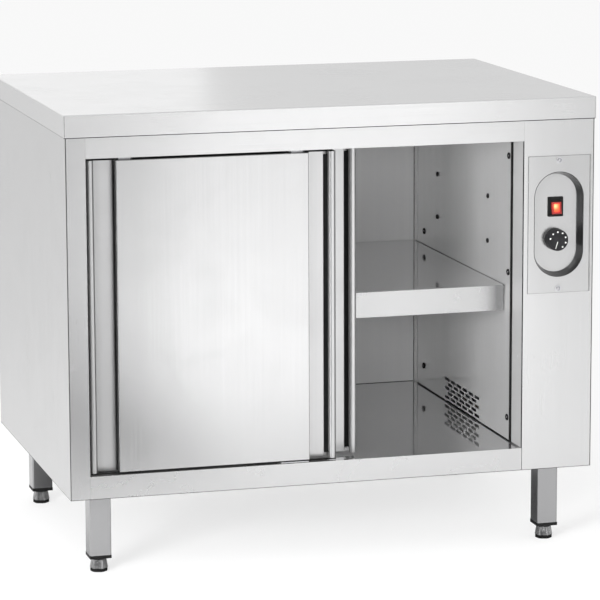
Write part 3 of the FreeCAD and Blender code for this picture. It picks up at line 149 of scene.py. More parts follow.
def noise(tree, where, scale, detail=2.0, roughness=0.5, warp=0.0):
    inputs = {"Vector": where, "Scale": scale, "Detail": detail, "Roughness": roughness, "Distortion": warp}
    return add(tree, "ShaderNodeTexNoise", inputs).outputs[0]


def ramp(tree, factor, low, middle, high):
    # colours through three stops, each a position and a colour
    node = add(tree, "ShaderNodeValToRGB", {0: factor})
    stops = node.color_ramp.elements
    for index, (position, colour) in enumerate((low, high)):
        stops[index].position = position
        stops[index].color = (*colour, 1)
    stops.new(middle[0]).color = (*middle[1], 1)
    return node.outputs[0]


def startGroup(name, inputs, outputs):
    # a shader node group; an input without a value is a vector
    tree = bpy.data.node_groups.new(name, "ShaderNodeTree")
    for label, value in inputs.items():
        kind = "NodeSocketVector" if value is None else "NodeSocketFloat"
        socket = tree.interface.new_socket(name=label, in_out="INPUT", socket_type=kind)
        if value is not None:
            socket.default_value = value
    for label in outputs:
        tree.interface.new_socket(name=label, in_out="OUTPUT", socket_type="NodeSocketFloat")
    source = tree.nodes.new("NodeGroupInput").outputs
    sink = tree.nodes.new("NodeGroupOutput").inputs
    return tree, source, sink


def useGroup(tree, group, inputs):
    node = add(tree, "ShaderNodeGroup", node_tree=group)
    for socket, value in inputs.items():
        feed(tree, node.inputs[socket], value)
    return node.outputs


# Effects that several finishes share
def facingMask(tree, axis):
    # 1 on faces that look along this axis
    normal = add(tree, "ShaderNodeNewGeometry").outputs["True Normal"]
    return calc(tree, "GREATER_THAN", calc(tree, "ABSOLUTE", split(tree, normal)[axis]), 0.7)


def makeBrushedGroup(name, axis):
    # fine lines that run along one axis, and turn on the sheet's edges that face it
    inputs = {"Vector": None, "Lines Per Metre": 900.0, "Line Length": 0.2}
    tree, source, sink = startGroup(name, inputs, ["Lines", "Streaks"])
    x, y, z = split(tree, source["Vector"])
    swapped = combine(tree, (y, x, z) if axis == 0 else (z, y, x))
    where = mixVectors(tree, facingMask(tree, axis), combine(tree, (x, y, z)), swapped)
    across = source["Lines Per Metre"]
    along = calc(tree, "DIVIDE", 1.0, source["Line Length"])
    stretch = combine(tree, (along, across, across) if axis == 0 else (across, across, along))
    spread = add(tree, "ShaderNodeVectorMath", {0: where, 1: stretch}, operation="MULTIPLY").outputs[0]
    fine = noise(tree, spread, 1.0, 3.0, 0.6)
    feed(tree, sink["Lines"], remap(tree, fine, *noiseSpan))
    broad = noise(tree, spread, 0.12, 2.0, 0.5)
    feed(tree, sink["Streaks"], remap(tree, broad, *noiseSpan))
    return tree


def makeWavesGroup():
    # the slow waves of a thin folded sheet
    tree, source, sink = startGroup("sheetWaves", {"Vector": None, "Wave Size": 0.3}, ["Height"])
    scale = calc(tree, "DIVIDE", 1.0, source["Wave Size"])
    feed(tree, sink["Height"], noise(tree, source["Vector"], scale, 1.0, 0.4))
    return tree


def makeWipeGroup():
    # wiping marks and faint smears left by cleaning
    tree, source, sink = startGroup("wipeMarks", {"Vector": None, "Mark Size": 0.15}, ["Mask"])
    scale = calc(tree, "DIVIDE", 1.0, source["Mark Size"])
    cloud = noise(tree, source["Vector"], scale, 4.0, 0.55, 0.8)
    feed(tree, sink["Mask"], remap(tree, cloud, 0.45, 0.75))
    return tree


def makeEdgeGroup():
    # edges and folds, found from how far a rounded normal leaves the true one; rubbed on plastics and zinc,
    # painted fold shade on steels
    tree, source, sink = startGroup("rubbedEdgesAndFoldShade", {"Radius": 0.001, "Strength": 3.0}, ["Mask"])
    rounded = add(tree, "ShaderNodeBevel", {"Radius": source["Radius"]}, samples=4).outputs[0]
    normal = add(tree, "ShaderNodeNewGeometry").outputs["Normal"]
    match = add(tree, "ShaderNodeVectorMath", {0: rounded, 1: normal}, operation="DOT_PRODUCT")
    off = calc(tree, "SUBTRACT", 1.0, match.outputs["Value"])
    feed(tree, sink["Mask"], calc(tree, "MULTIPLY", off, source["Strength"], clamp=True))
    return tree


def makeMouldedGroup():
    # the fine sparked grain of a moulding tool
    inputs = {"Vector": None, "Grain Size": 0.0006}
    tree, source, sink = startGroup("mouldedGrain", inputs, ["Height", "Tone"])
    scale = calc(tree, "DIVIDE", 1.0, source["Grain Size"])
    feed(tree, sink["Height"], noise(tree, source["Vector"], scale, 2.0, 0.6))
    slow = times(tree, scale, 0.04)
    feed(tree, sink["Tone"], remap(tree, noise(tree, source["Vector"], slow, 3.0, 0.6), *noiseSpan))
    return tree


def makeSpangleGroup():
    # flat crystals of a zinc coat
    tree, source, sink = startGroup("zincSpangle", {"Vector": None, "Spangle Size": 0.006}, ["Tone"])
    scale = calc(tree, "DIVIDE", 1.0, source["Spangle Size"])
    cells = add(tree, "ShaderNodeTexVoronoi", {"Vector": source["Vector"], "Scale": scale})
    feed(tree, sink["Tone"], split(tree, cells.outputs["Color"])[0])
    return tree


lengthwiseLines = makeBrushedGroup("brushedLengthwise", 0)
uprightLines = makeBrushedGroup("brushedUpright", 2)
sheetWaves = makeWavesGroup()
wipeMarks = makeWipeGroup()
rubbedEdgesAndFoldShade = makeEdgeGroup()
mouldedGrain = makeMouldedGroup()
zincSpangle = makeSpangleGroup()
print("effects built")


# Finishes
def startMaterial(name):
    material = bpy.data.materials.new(name)
    material.use_nodes = True
    tree = material.node_tree
    return material, tree, add(tree, "ShaderNodeTexCoord").outputs["Object"]


def finishShader(tree, height, values):
    # the surface shader's values, and its bump from a height in metres
    shader = tree.nodes["Principled BSDF"]
    for socket, value in values.items():
        feed(tree, shader.inputs[socket], value)
    bump = add(tree, "ShaderNodeBump", {"Height": height, "Strength": 1.0, "Distance": 1.0})
    feed(tree, shader.inputs["Normal"], bump.outputs[0])


def wearAndFoldShadeMasks(tree, where, markSize, edgeRadius, edgeStrength):
    # masks of the wiping marks and of the edges and folds, which plastics and zinc show rubbed and steels
    # take painted shade in
    marks = useGroup(tree, wipeMarks, {"Vector": where, "Mark Size": markSize})["Mask"]
    edges = useGroup(tree, rubbedEdgesAndFoldShade, {"Radius": edgeRadius, "Strength": edgeStrength})["Mask"]
    return marks, edges


# Steels: axis 0 has lengthwise lines and 2 upright ones; shares are of the colour; lengths are in metres
steelColumns = (
    "axis", "tone", "blue", "metal", "roughness", "spread", "lines", "lineLength",
    "lineDepth", "waveSize", "waveDepth", "lineRough", "markRough", "paintedFoldShare",
)
# paintedFoldShare is the colour painted into edges and folds: below 1 painted shade, above 1 lighter
steelRows = {
    "worktopSteel": (0, 0.66, 0.663, 0.92, 0.24, 0.4, 1100, 0.25, 1e-6, 0.45, 1.4e-4, 0.05, 0.04, 0.85),
    "casingSteel": (2, 0.63, 0.633, 0.91, 0.23, 0.3, 1100, 0.25, 8e-7, 0.40, 1.2e-4, 0.05, 0.04, 0.5),
    # shadedSideSteel: the casing steel painted darker, for the shade on the left side panel
    "shadedSideSteel": (2, 0.545, 0.548, 0.91, 0.23, 0.3, 1100, 0.25, 8e-7, 0.40, 1.2e-4, 0.05, 0.04, 0.5),
    "plateSteel": (2, 0.585, 0.588, 0.91, 0.17, 0.2, 1100, 0.2, 8e-7, 0.15, 3e-5, 0.05, 0.03, 0.7),
    "railSteel": (0, 0.62, 0.623, 0.92, 0.22, 0.3, 1100, 0.25, 8e-7, 0.45, 1e-4, 0.05, 0.04, 0.5),
    "panSteel": (0, 0.62, 0.623, 0.80, 0.26, 0.2, 1100, 0.25, 5e-8, 0.45, 6e-5, 0.0, 0.04, 0.5),
    "doorSteel": (2, 0.53, 0.533, 0.90, 0.29, 0.0, 1200, 0.3, 3e-7, 0.35, 6e-5, 0.03, 0.04, 1.0),
    "doorPanelSteel": (2, 0.545, 0.548, 0.95, 0.20, 0.3, 1200, 0.3, 8e-7, 0.35, 1.2e-4, 0.05, 0.04, 0.6),
    # litJambSteel: a lighter, less metallic copy, painted reflection on the right jamb
    "litJambSteel": (2, 0.70, 0.702, 0.45, 0.22, 0.0, 900, 0.2, 3e-7, 0.3, 3e-5, 0.03, 0.05, 0.6),
    "footSteel": (2, 0.44, 0.445, 0.90, 0.26, 0.0, 2400, 0.002, 1e-6, 0.006, 5e-4, 0.10, 0.10, 0.3),
    "liningSteel": (2, 0.80, 0.802, 0.55, 0.32, 0.0, 700, 0.12, 3e-7, 0.30, 5e-5, 0.03, 0.05, 0.6),
    "backWallSteel": (2, 0.80, 0.802, 0.20, 0.46, 0.0, 900, 0.12, 6e-7, 0.30, 6e-5, 0.05, 0.06, 0.6),
    "shelfSteel": (0, 0.61, 0.613, 0.80, 0.26, 0.2, 900, 0.2, 5e-8, 0.35, 5e-5, 0.0, 0.05, 0.6),
    "legSteel": (2, 0.38, 0.385, 0.94, 0.20, 0.2, 1200, 0.15, 8e-7, 0.20, 2e-5, 0.05, 0.05, 0.7),
    # shadedTrackSteel: painted dark, for the shade inside the door track
    "shadedTrackSteel": (0, 0.12, 0.122, 0.5, 0.5, 0.0, 900, 0.1, 6e-7, 0.3, 2e-5, 0.05, 0.1, 1.3),
    "turnedSteel": (0, 0.62, 0.64, 1.0, 0.20, 0.0, 2500, 0.01, 6e-7, 0.05, 1e-5, 0.06, 0.05, 1.2),
}
# on the tub walls, the front edges of the pan and shelf, and the sides of the door panel
# painted shade: faces that do not look along paintedShadeAxis take paintedShadeShare of the colour,
steelExtras = {
    "plateSteel": {"paintedShadeAxis": 1, "paintedShadeShare": 0.18},
    "panSteel": {"gloss": 0.8, "glossAxis": 2, "polish": 0.08, "paintedShadeAxis": 2, "paintedShadeShare": 0.93},
    # paintedSideShade paints light and shade across the noses of the door grips
    "doorSteel": {"paintedSideShade": 0.5},
    "doorPanelSteel": {"paintedShadeAxis": 1, "paintedShadeShare": 0.05},
    "litJambSteel": {"gloss": 0.6},
    "footSteel": {"streakShare": 0.22},
    "liningSteel": {"gloss": 1.0, "polish": 0.10},
    "shelfSteel": {"gloss": 0.8, "glossAxis": 2, "polish": 0.08, "paintedShadeAxis": 2, "paintedShadeShare": 0.81},
}
steelWearAndFoldShade = {
    "masks": (0.12, 0.0009, 3.0), "lineShare": 0.97, "sideMetal": 0.94, "coatRough": 0.03,
    "coatWorn": -0.12,
}


def paintedNoseShade(tree, colour, amount):
    # painted light and shade: the folded noses are lighter to the left of their crown and darker to the right
    across = split(tree, add(tree, "ShaderNodeNewGeometry").outputs["Normal"])[0]
    left = remap(tree, across, -0.7, 0.0, 1.0 + 0.7 * amount, 1.0)
    right = remap(tree, across, 0.0, 0.5, 1.0, 1.0 - 0.9 * amount)
    share = times(tree, left, right)
    return add(tree, "ShaderNodeVectorMath", {0: colour, "Scale": share}, operation="SCALE").outputs[0]


def makeSteel(name):
    finish = dict(zip(steelColumns, steelRows[name]), **steelExtras.get(name, {}))
    material, tree, where = startMaterial(name)
    lengthwise = finish["axis"] == 0
    grain = useGroup(tree, lengthwiseLines if lengthwise else uprightLines, {
        "Vector": where, "Lines Per Metre": finish["lines"], "Line Length": finish["lineLength"],
    })
    waves = useGroup(tree, sheetWaves, {"Vector": where, "Wave Size": finish["waveSize"]})["Height"]
    marks, edges = wearAndFoldShadeMasks(tree, where, *steelWearAndFoldShade["masks"])

    def shaded(share):
        return tuple(min(share * part, 1) for part in (finish["tone"], finish["tone"], finish["blue"])) + (1,)

    lineShare = steelWearAndFoldShade["lineShare"]
    colour = mixColours(tree, grain["Streaks"], shaded(1), shaded(finish.get("streakShare", lineShare)))
    colour = mixColours(tree, times(tree, grain["Lines"], 0.5), colour, shaded(lineShare))
    if "paintedShadeAxis" in finish:
        # painted shade: faces that do not look along this axis are painted darker
        colour = mixColours(tree, facingMask(tree, finish["paintedShadeAxis"]), shaded(finish["paintedShadeShare"]), colour)
    if "paintedSideShade" in finish:
        colour = paintedNoseShade(tree, colour, finish["paintedSideShade"])
    lowest = finish["roughness"] - finish["lineRough"] / 2
    rough = timesPlus(tree, grain["Lines"], finish["lineRough"], lowest)
    rough = timesPlus(tree, marks, finish["markRough"], rough)
    metal = finish["metal"]
    mask = 1.0
    if "glossAxis" in finish:
        mask = facingMask(tree, finish["glossAxis"])
        metal = mixValues(tree, mask, steelWearAndFoldShade["sideMetal"], metal)
    if "polish" in finish:
        polished = timesPlus(tree, marks, finish["markRough"], finish["polish"])
        rough = mixValues(tree, mask, rough, polished)
    main, other = ((1, 0, 0), (0, 1, 0)) if lengthwise else ((0, 0, 1), (1, 0, 0))
    lineHeight = times(tree, grain["Lines"], finish["lineDepth"])
    # painted fold shade: edges and folds take paintedFoldShare of the colour, darker below 1 and lighter
    # above
    finishShader(tree, timesPlus(tree, waves, finish["waveDepth"], lineHeight), {
        "Base Color": mixColours(tree, edges, colour, shaded(finish["paintedFoldShare"])),
        "Roughness": rough,
        "Metallic": metal,
        "Anisotropic": finish["spread"],
        "Tangent": mixVectors(tree, facingMask(tree, finish["axis"]), main, other),
    })
    if "gloss" in finish:
        # mirror polish over the satin, on all faces or on those that look along one axis
        gloss = timesPlus(tree, marks, steelWearAndFoldShade["coatWorn"] * finish["gloss"], finish["gloss"])
        shader = tree.nodes["Principled BSDF"].inputs
        feed(tree, shader["Coat Weight"], times(tree, gloss, mask))
        feed(tree, shader["Coat Roughness"], steelWearAndFoldShade["coatRough"])
    return material


# Plastics, rubbers and paint: dark and light tone of the grain, colour of the edges, and how they shine
plasticColumns = ("dark", "light", "edge", "roughness", "grain", "depth", "shine")
plasticRows = {
    "blackPlastic": ([0.006] * 3, [0.012] * 3, (0.02, 0.02, 0.021), 0.5, 0.0007, 2e-5, 0.15),
    "blackRubber": ([0.006] * 3, [0.013] * 3, [0.02] * 3, 0.7, 0.0012, 3e-5, 0.15),
    # plateShadeGrey: grey of the painted shade round the control plate
    "plateShadeGrey": ([0.17] * 3, [0.23] * 3, [0.28] * 3, 0.6, 0.0012, 3e-5, 0.5),
    "greyPlastic": ((0.48, 0.49, 0.50), (0.60, 0.61, 0.62), (0.70, 0.71, 0.72), 0.42, 0.0008, 2e-5, 0.5),
    "knobPlastic": ((0.009, 0.009, 0.01), (0.02, 0.02, 0.022), (0.04, 0.04, 0.044), 0.5, 0.0006, 4e-5, 0.2),
    "knobPrint": ((0.62, 0.62, 0.61), (0.78, 0.78, 0.77), [0.8] * 3, 0.5, 0.0005, 1e-5, 0.5),
    "motorPaint": ((0.12, 0.125, 0.14), (0.19, 0.20, 0.22), [0.34] * 3, 0.36, 0.0015, 3e-5, 0.5),
}


def makePlastic(name):
    finish = dict(zip(plasticColumns, plasticRows[name]))
    material, tree, where = startMaterial(name)
    grain = useGroup(tree, mouldedGrain, {"Vector": where, "Grain Size": finish["grain"]})
    marks, edges = wearAndFoldShadeMasks(tree, where, 0.02, 0.0005, 1.6)
    body = mixColours(tree, grain["Tone"], (*finish["dark"], 1), (*finish["light"], 1))
    finishShader(tree, times(tree, grain["Height"], finish["depth"]), {
        "Base Color": mixColours(tree, edges, body, (*finish["edge"], 1)),
        "Roughness": timesPlus(tree, marks, 0.12, finish["roughness"]),
        "Specular IOR Level": finish["shine"],
    })
    return material


def makeZinc():
    material, tree, where = startMaterial("zincCoat")
    tone = useGroup(tree, zincSpangle, {"Vector": where, "Spangle Size": 0.007})["Tone"]
    marks, edges = wearAndFoldShadeMasks(tree, where, 0.05, 0.0008, 2.0)
    body = mixColours(tree, tone, (0.46, 0.47, 0.49, 1), (0.62, 0.63, 0.65, 1))
    rough = timesPlus(tree, tone, 0.16, 0.34)
    finishShader(tree, times(tree, marks, 2e-5), {
        "Base Color": mixColours(tree, edges, body, (0.72, 0.72, 0.73, 1)),
        "Roughness": timesPlus(tree, marks, 0.10, rough),
        "Metallic": 1.0,
    })
    return material


def makeCopper():
    material, tree, where = startMaterial("drawnCopper")
    marks = useGroup(tree, wipeMarks, {"Vector": where, "Mark Size": 0.03})["Mask"]
    inputs = {"Vector": where, "Lines Per Metre": 1500, "Line Length": 0.05}
    lines = useGroup(tree, lengthwiseLines, inputs)["Lines"]
    bright = mixColours(tree, lines, (0.78, 0.45, 0.30, 1), (0.68, 0.38, 0.24, 1))
    finishShader(tree, times(tree, lines, 1e-6), {
        "Base Color": mixColours(tree, marks, bright, (0.40, 0.20, 0.12, 1)),
        "Roughness": timesPlus(tree, marks, 0.2, 0.24),
        "Metallic": 1.0,
    })
    return material


def makeHeatedSteel():
    # heat tints on the heater's sheath: blue grey, brown and straw
    material, tree, where = startMaterial("heatedSteel")
    tint = noise(tree, where, 38.0, 3.0, 0.5, 0.4)
    stops = (0.35, (0.16, 0.15, 0.17)), (0.52, (0.27, 0.24, 0.22)), (0.70, (0.36, 0.29, 0.20))
    finishShader(tree, times(tree, tint, 3e-5), {
        "Base Color": ramp(tree, tint, *stops),
        "Roughness": remap(tree, tint, *noiseSpan, 0.30, 0.48),
        "Metallic": 1.0,
    })
    return material


def makeWool():
    # pressed mineral wool: fibres laid at random, a little darker in the hollows
    material, tree, where = startMaterial("pressedWool")
    fibres = noise(tree, where, 260.0, 5.0, 0.7, 2.5)
    tufts = noise(tree, where, 30.0, 3.0, 0.6)
    body = mixColours(tree, remap(tree, fibres, *noiseSpan), (0.42, 0.37, 0.25, 1), (0.76, 0.70, 0.54, 1))
    finishShader(tree, timesPlus(tree, tufts, 0.0010, times(tree, fibres, 0.0005)), {
        "Base Color": mixColours(tree, times(tree, tufts, 0.4), body, (0.62, 0.56, 0.40, 1)),
        "Roughness": remap(tree, fibres, *noiseSpan, 0.98, 0.88),
        "Sheen Weight": 0.2,
        "Sheen Roughness": 0.6,
    })
    return material


# Lit reds: glow far from the lamp, half way and near it, and the plastic's own cold and warm colour
litReds = {
    "rockerRed": {
        "reach": 0.014, "strength": 0.08,
        "stops": ((0.0, (0.30, 0.010, 0.004)), (0.45, (0.42, 0.02, 0.008)), (1.0, (0.60, 0.05, 0.02))),
        "body": ((0.20, 0.012, 0.010, 1), (0.34, 0.03, 0.02, 1)),
    },
    "rockerGlow": {
        "reach": 0.0125, "strength": 1.5,
        "stops": ((0.0, (0.30, 0.010, 0.004)), (0.45, (0.85, 0.11, 0.03)), (1.0, (1.0, 0.80, 0.34))),
        "body": ((0.45, 0.012, 0.006, 1), (0.75, 0.10, 0.03, 1)),
    },
}


def makeLitRed(name, lampPlace):
    # red translucent plastic with a small lamp behind it, brightest near the lamp
    finish = litReds[name]
    material, tree, where = startMaterial(name)
    inputs = {0: where, 1: tuple(lampPlace)}
    far = add(tree, "ShaderNodeVectorMath", inputs, operation="DISTANCE").outputs["Value"]
    near = remap(tree, far, 0.0, finish["reach"], 1.0, 0.0)
    grain = useGroup(tree, mouldedGrain, {"Vector": where, "Grain Size": 0.0012})
    uneven = times(tree, near, remap(tree, grain["Tone"], 0.0, 1.0, 0.86, 1.0))
    finishShader(tree, times(tree, grain["Height"], 4e-6), {
        "Emission Color": ramp(tree, uneven, *finish["stops"]),
        "Emission Strength": finish["strength"],
        "Base Color": mixColours(tree, uneven, *finish["body"]),
        "Roughness": remap(tree, grain["Tone"], 0.0, 1.0, 0.16, 0.26),
        "Coat Weight": 0.4,
        "Coat Roughness": 0.08,
    })
    return material


materials = {name: makeSteel(name) for name in steelRows}
materials.update({name: makePlastic(name) for name in plasticRows})
materials["zincCoat"] = makeZinc()
materials["drawnCopper"] = makeCopper()
materials["heatedSteel"] = makeHeatedSteel()
materials["pressedWool"] = makeWool()
print("finishes built:", len(materials))


# Which CAD nodes take each finish, by whole name or by a part of the name
nodesOfFinish = {
    "worktopSteel": "worktop",
    "zincCoat": "worktop_stiffeners thermostat_body fan_housing fan_impeller",
    "shadedSideSteel": "left_side_panel",
    "casingSteel": "right_side_panel back_panel service_cover",
    "railSteel": "top_rail",
    "panSteel": "floor_pan",
    "liningSteel": "underside_panel left_inner_wall partition_wall inner_ceiling",
    "backWallSteel": "inner_back_wall",
    "pressedWool": "insulation_boards",
    "blackPlastic": "leg_end_caps switch_housing terminal_block cable_gland",
    "shadedTrackSteel": "door_track",
    "blackRubber": "door_buffers",
    "greyPlastic": "bottom_guide",
    "shelfSteel": "shelf",
    "turnedSteel": "shelf_pegs screws thermostat_shaft thermostat_knob switch_rocker",
    "plateSteel": "control_plate",
    "drawnCopper": "thermostat_sensor",
    "motorPaint": "fan_motor",
    "heatedSteel": "heating_element",
}
finishOfNode = {node: finish for finish, names in nodesOfFinish.items() for node in names.split()}
finishOfPart = {
    "_outer_skin": "doorPanelSteel", "_inner_skin": "liningSteel", "_grips": "doorSteel",
    "_grip_liners": "blackPlastic", "_hangers": "turnedSteel", "_rollers": "greyPlastic",
    "leg_": "legSteel", "foot_spindle_": "turnedSteel", "foot_pad_": "blackRubber",
}

for name, node in nodes.items():
    finish = finishOfNode.get(name) or next(finishOfPart[part] for part in finishOfPart if part in name)
    node.data.materials.clear()
    node.data.materials.append(materials[finish])
print("nodes finished")


# Small helpers for meshes
facingFront = Matrix.Rotation(math.radians(90), 4, "X")  # local +Z turns to -Y, local +Y to +Z


def joined(shapes):
    points = []
    faces = []
    for somePoints, someFaces in shapes:
        start = len(points)
        points.extend(somePoints)
        faces.extend(tuple(index + start for index in face) for face in someFaces)
    return points, faces


def moved(shape, matrix):
    points, faces = shape
    return [matrix @ point for point in points], faces


def makePiece(name, shapes, finish, body, sharpDegrees=35):
    # a piece of one shape or of a list of them
    points, faces = joined(shapes) if isinstance(shapes, list) else shapes
    mesh = bpy.data.meshes.new(name)
    mesh.from_pydata([tuple(point) for point in points], [], faces)
    mesh.update()
    mesh.shade_smooth()
    mesh.set_sharp_from_angle(angle=math.radians(sharpDegrees))
    mesh.materials.append(materials[finish])
    piece = bpy.data.objects.new(name, mesh)
    bpy.context.scene.collection.objects.link(piece)
    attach(piece, body)
    return piece


def makeRubber(name, shapes, body="cabinet"):
    return makePiece(name, shapes, "blackRubber", body)


def roundWith(piece, width, segments=3, angle=40):
    bevel = piece.modifiers.new("rounding", "BEVEL")
    bevel.width = width
    bevel.segments = segments
    bevel.limit_method = "ANGLE"
    bevel.angle_limit = math.radians(angle)


def boxShape(xs, ys, zs):
    # a box between two levels on each axis, in either order
    points = [Vector((x, y, z)) for z in sorted(zs) for y in sorted(ys) for x in sorted(xs)]
    faces = [(0, 2, 3, 1), (4, 5, 7, 6), (0, 1, 5, 4), (2, 6, 7, 3), (0, 4, 6, 2), (1, 3, 7, 5)]
    return points, faces


def turnedShape(profile, segments, radiusAt=None, rise=0.0):
    # rings of points about Z; radiusAt may shape each ring, rise makes a screw thread
    points = []
    faces = []
    for row, (radius, height) in enumerate(profile):
        for step in range(segments):
            angle = 2 * math.pi * step / segments
            reach = radiusAt(radius, height, angle) if radiusAt else radius
            lift = height + rise * step / segments
            points.append(Vector((reach * math.cos(angle), reach * math.sin(angle), lift)))
        if row:
            low = (row - 1) * segments
            high = row * segments
            for step in range(segments):
                after = (step + 1) % segments
                faces.append((low + step, low + after, high + after, high + step))
    faces.append(tuple(reversed(range(segments))))
    last = (len(profile) - 1) * segments
    faces.append(tuple(range(last, last + segments)))
    return points, faces


def arcPoints(centre, radius, startDegrees, endDegrees, count):
    result = []
    for step in range(count + 1):
        angle = math.radians(startDegrees + (endDegrees - startDegrees) * step / count)
        result.append((centre[0] + radius * math.cos(angle), centre[1] + radius * math.sin(angle)))
    return result


def solidBoxes(nodeName):
    # the lowest and highest corner and all points of each separate solid in a node
    work = bmesh.new()
    work.from_mesh(nodes[nodeName].data)
    bmesh.ops.remove_doubles(work, verts=work.verts, dist=0.01 * mm)
    seen = set()
    boxes = []
    for start in work.verts:
        if start in seen:
            continue
        seen.add(start)
        group = [start]
        for vertex in group:
            for edge in vertex.link_edges:
                other = edge.other_vert(vertex)
                if other not in seen:
                    seen.add(other)
                    group.append(other)
        low = Vector([min(vertex.co[axis] for vertex in group) for axis in range(3)])
        high = Vector([max(vertex.co[axis] for vertex in group) for axis in range(3)])
        boxes.append((low, high, [vertex.co.copy() for vertex in group]))
    work.free()
    return boxes


# Thermostat knob: ribbed side, dished face with plain marks and a pointer
knob = {
    "ribs": 48, "ribDepth": 0.35 * mm, "ribStart": 2.5 * mm, "ribStop": 3 * mm, "steps": 6,
    "heel": 0.3 * mm, "heelRise": 0.4 * mm, "faceRadiusShare": 0.966, "edge": 1.3 * mm, "dish": 0.35 * mm,
    "rim": 1.4 * mm, "dishSlope": 0.4 * mm, "dishCrown": 0.05 * mm,
    "markTurns": (-77, -40, -3, 34, 71, 108, 145), "markRadius": 16.2 * mm, "markWidth": 3.4 * mm,
    "markLength": 3.6 * mm, "markPoint": 0.15, "pointer": (1.2 * mm, 2.7 * mm, 16.4 * mm, 0.7, 197),
    "printHeight": 0.12 * mm, "printSunk": 0.1 * mm,
}


def printedMark(width, start, end, point, degrees, bottom, top):
    # a mark that runs outward on the knob's face and narrows to a share of its width; turned clockwise
    half = width / 2
    angle = -math.radians(degrees)
    ring = []
    for level in (bottom, top):
        for across, outward in ((-half, start), (half, start), (half * point, end), (-half * point, end)):
            x = across * math.cos(angle) - outward * math.sin(angle)
            y = across * math.sin(angle) + outward * math.cos(angle)
            ring.append(Vector((x, y, level)))
    return ring, [(3, 2, 1, 0), (4, 5, 6, 7), (0, 1, 5, 4), (1, 2, 6, 5), (2, 3, 7, 6), (3, 0, 4, 7)]


def makeKnob():
    low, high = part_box("thermostat_knob")
    radius = (high.x - low.x) / 2
    height = high.y - low.y
    face = radius * knob["faceRadiusShare"]
    edge = knob["edge"]
    floor = height - knob["dish"]
    ribStart, ribEnd = knob["ribStart"], height - knob["ribStop"]
    profile = [(radius * 0.5, 0), (radius - knob["heel"], 0), (radius, knob["heelRise"])]
    for step in range(knob["steps"] + 1):
        level = ribStart + (ribEnd - ribStart) * (step / knob["steps"])
        profile.append((radius + (face - radius) * level / height, level))
    profile += arcPoints((face - edge, height - edge), edge, 0, 90, 6)
    inner = face - edge - knob["rim"]
    profile += [(inner, height), (inner - knob["dishSlope"], floor)]
    profile += [(face * share, floor + knob["dishCrown"]) for share in (0.6, 0.3, 0.05)]

    def ribbed(reach, level, angle):
        if level < ribStart or level > ribEnd:
            return reach
        return reach - knob["ribDepth"] * (0.5 + 0.5 * math.cos(knob["ribs"] * angle)) ** 2

    place = Matrix.Translation(((low.x + high.x) / 2, high.y, (low.z + high.z) / 2)) @ facingFront
    shape = moved(turnedShape(profile, knob["ribs"] * 6, ribbed), place)
    piece = makePiece("knobBody", shape, "knobPlastic", "thermostat_knob")
    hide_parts("thermostat_knob")
    levels = floor - knob["printSunk"], floor + knob["dishCrown"] + knob["printHeight"]
    start, end = knob["markRadius"] - knob["markLength"] / 2, knob["markRadius"] + knob["markLength"] / 2
    marks = []
    for turn in knob["markTurns"]:
        marks.append(printedMark(knob["markWidth"], start, end, knob["markPoint"], turn, *levels))
    marks.append(printedMark(*knob["pointer"], *levels))
    makePiece("knobMarks", moved(joined(marks), place), "knobPrint", "thermostat_knob")


makeKnob()
print("knob built")


# Lit rocker: a black dished rocker that carries a proud red cap with a brighter lens in its face
rocker = {
    "width": 22.5 * mm, "height": 27 * mm, "crown": 3.4 * mm, "rise": 1.6 * mm, "back": 5 * mm,
    "tiltDegrees": 10, "curve": 1.7, "rows": 12, "columns": 6, "rounding": 0.9 * mm, "capWidth": 19.4 * mm,
    "capHeight": 22.6 * mm, "capAcross": 0.9 * mm, "capUp": -1.5 * mm, "capProud": 2.6 * mm,
    "lensWidth": 11 * mm, "lensHeight": 15.5 * mm, "lensProud": 0.5 * mm, "lampAcross": -2.6 * mm,
    "lampUp": 3.6 * mm, "pinRadius": 1.5 * mm, "pinReach": 1.2 * mm,
}


def curvedSlab(width, height, back, proud):
    # a slab whose front follows the rocker's dished face; front is -Y, local origin at the pivot
    rows, columns = rocker["rows"], rocker["columns"]
    points = []
    faces = []
    count = (rows + 1) * (columns + 1)
    for layer in (0, 1):
        for row in range(rows + 1):
            up = -height / 2 + height * row / rows
            share = abs(up) / (rocker["height"] / 2)
            front = rocker["crown"] + rocker["rise"] * share ** rocker["curve"]
            for column in range(columns + 1):
                across = -width / 2 + width * column / columns
                points.append(Vector((across, back if layer else -(front + proud), up)))
    for row in range(rows):
        for column in range(columns):
            corner = row * (columns + 1) + column
            square = (corner, corner + 1, corner + columns + 2, corner + columns + 1)
            faces.append(square)
            faces.append(tuple(index + count for index in reversed(square)))
    rim = list(range(columns + 1))
    rim += [row * (columns + 1) + columns for row in range(1, rows + 1)]
    rim += [rows * (columns + 1) + column for column in range(columns - 1, -1, -1)]
    rim += [row * (columns + 1) for row in range(rows - 1, 0, -1)]
    for here, after in zip(rim, rim[1:] + rim[:1]):
        faces.append((after, here, here + count, after + count))
    return points, faces


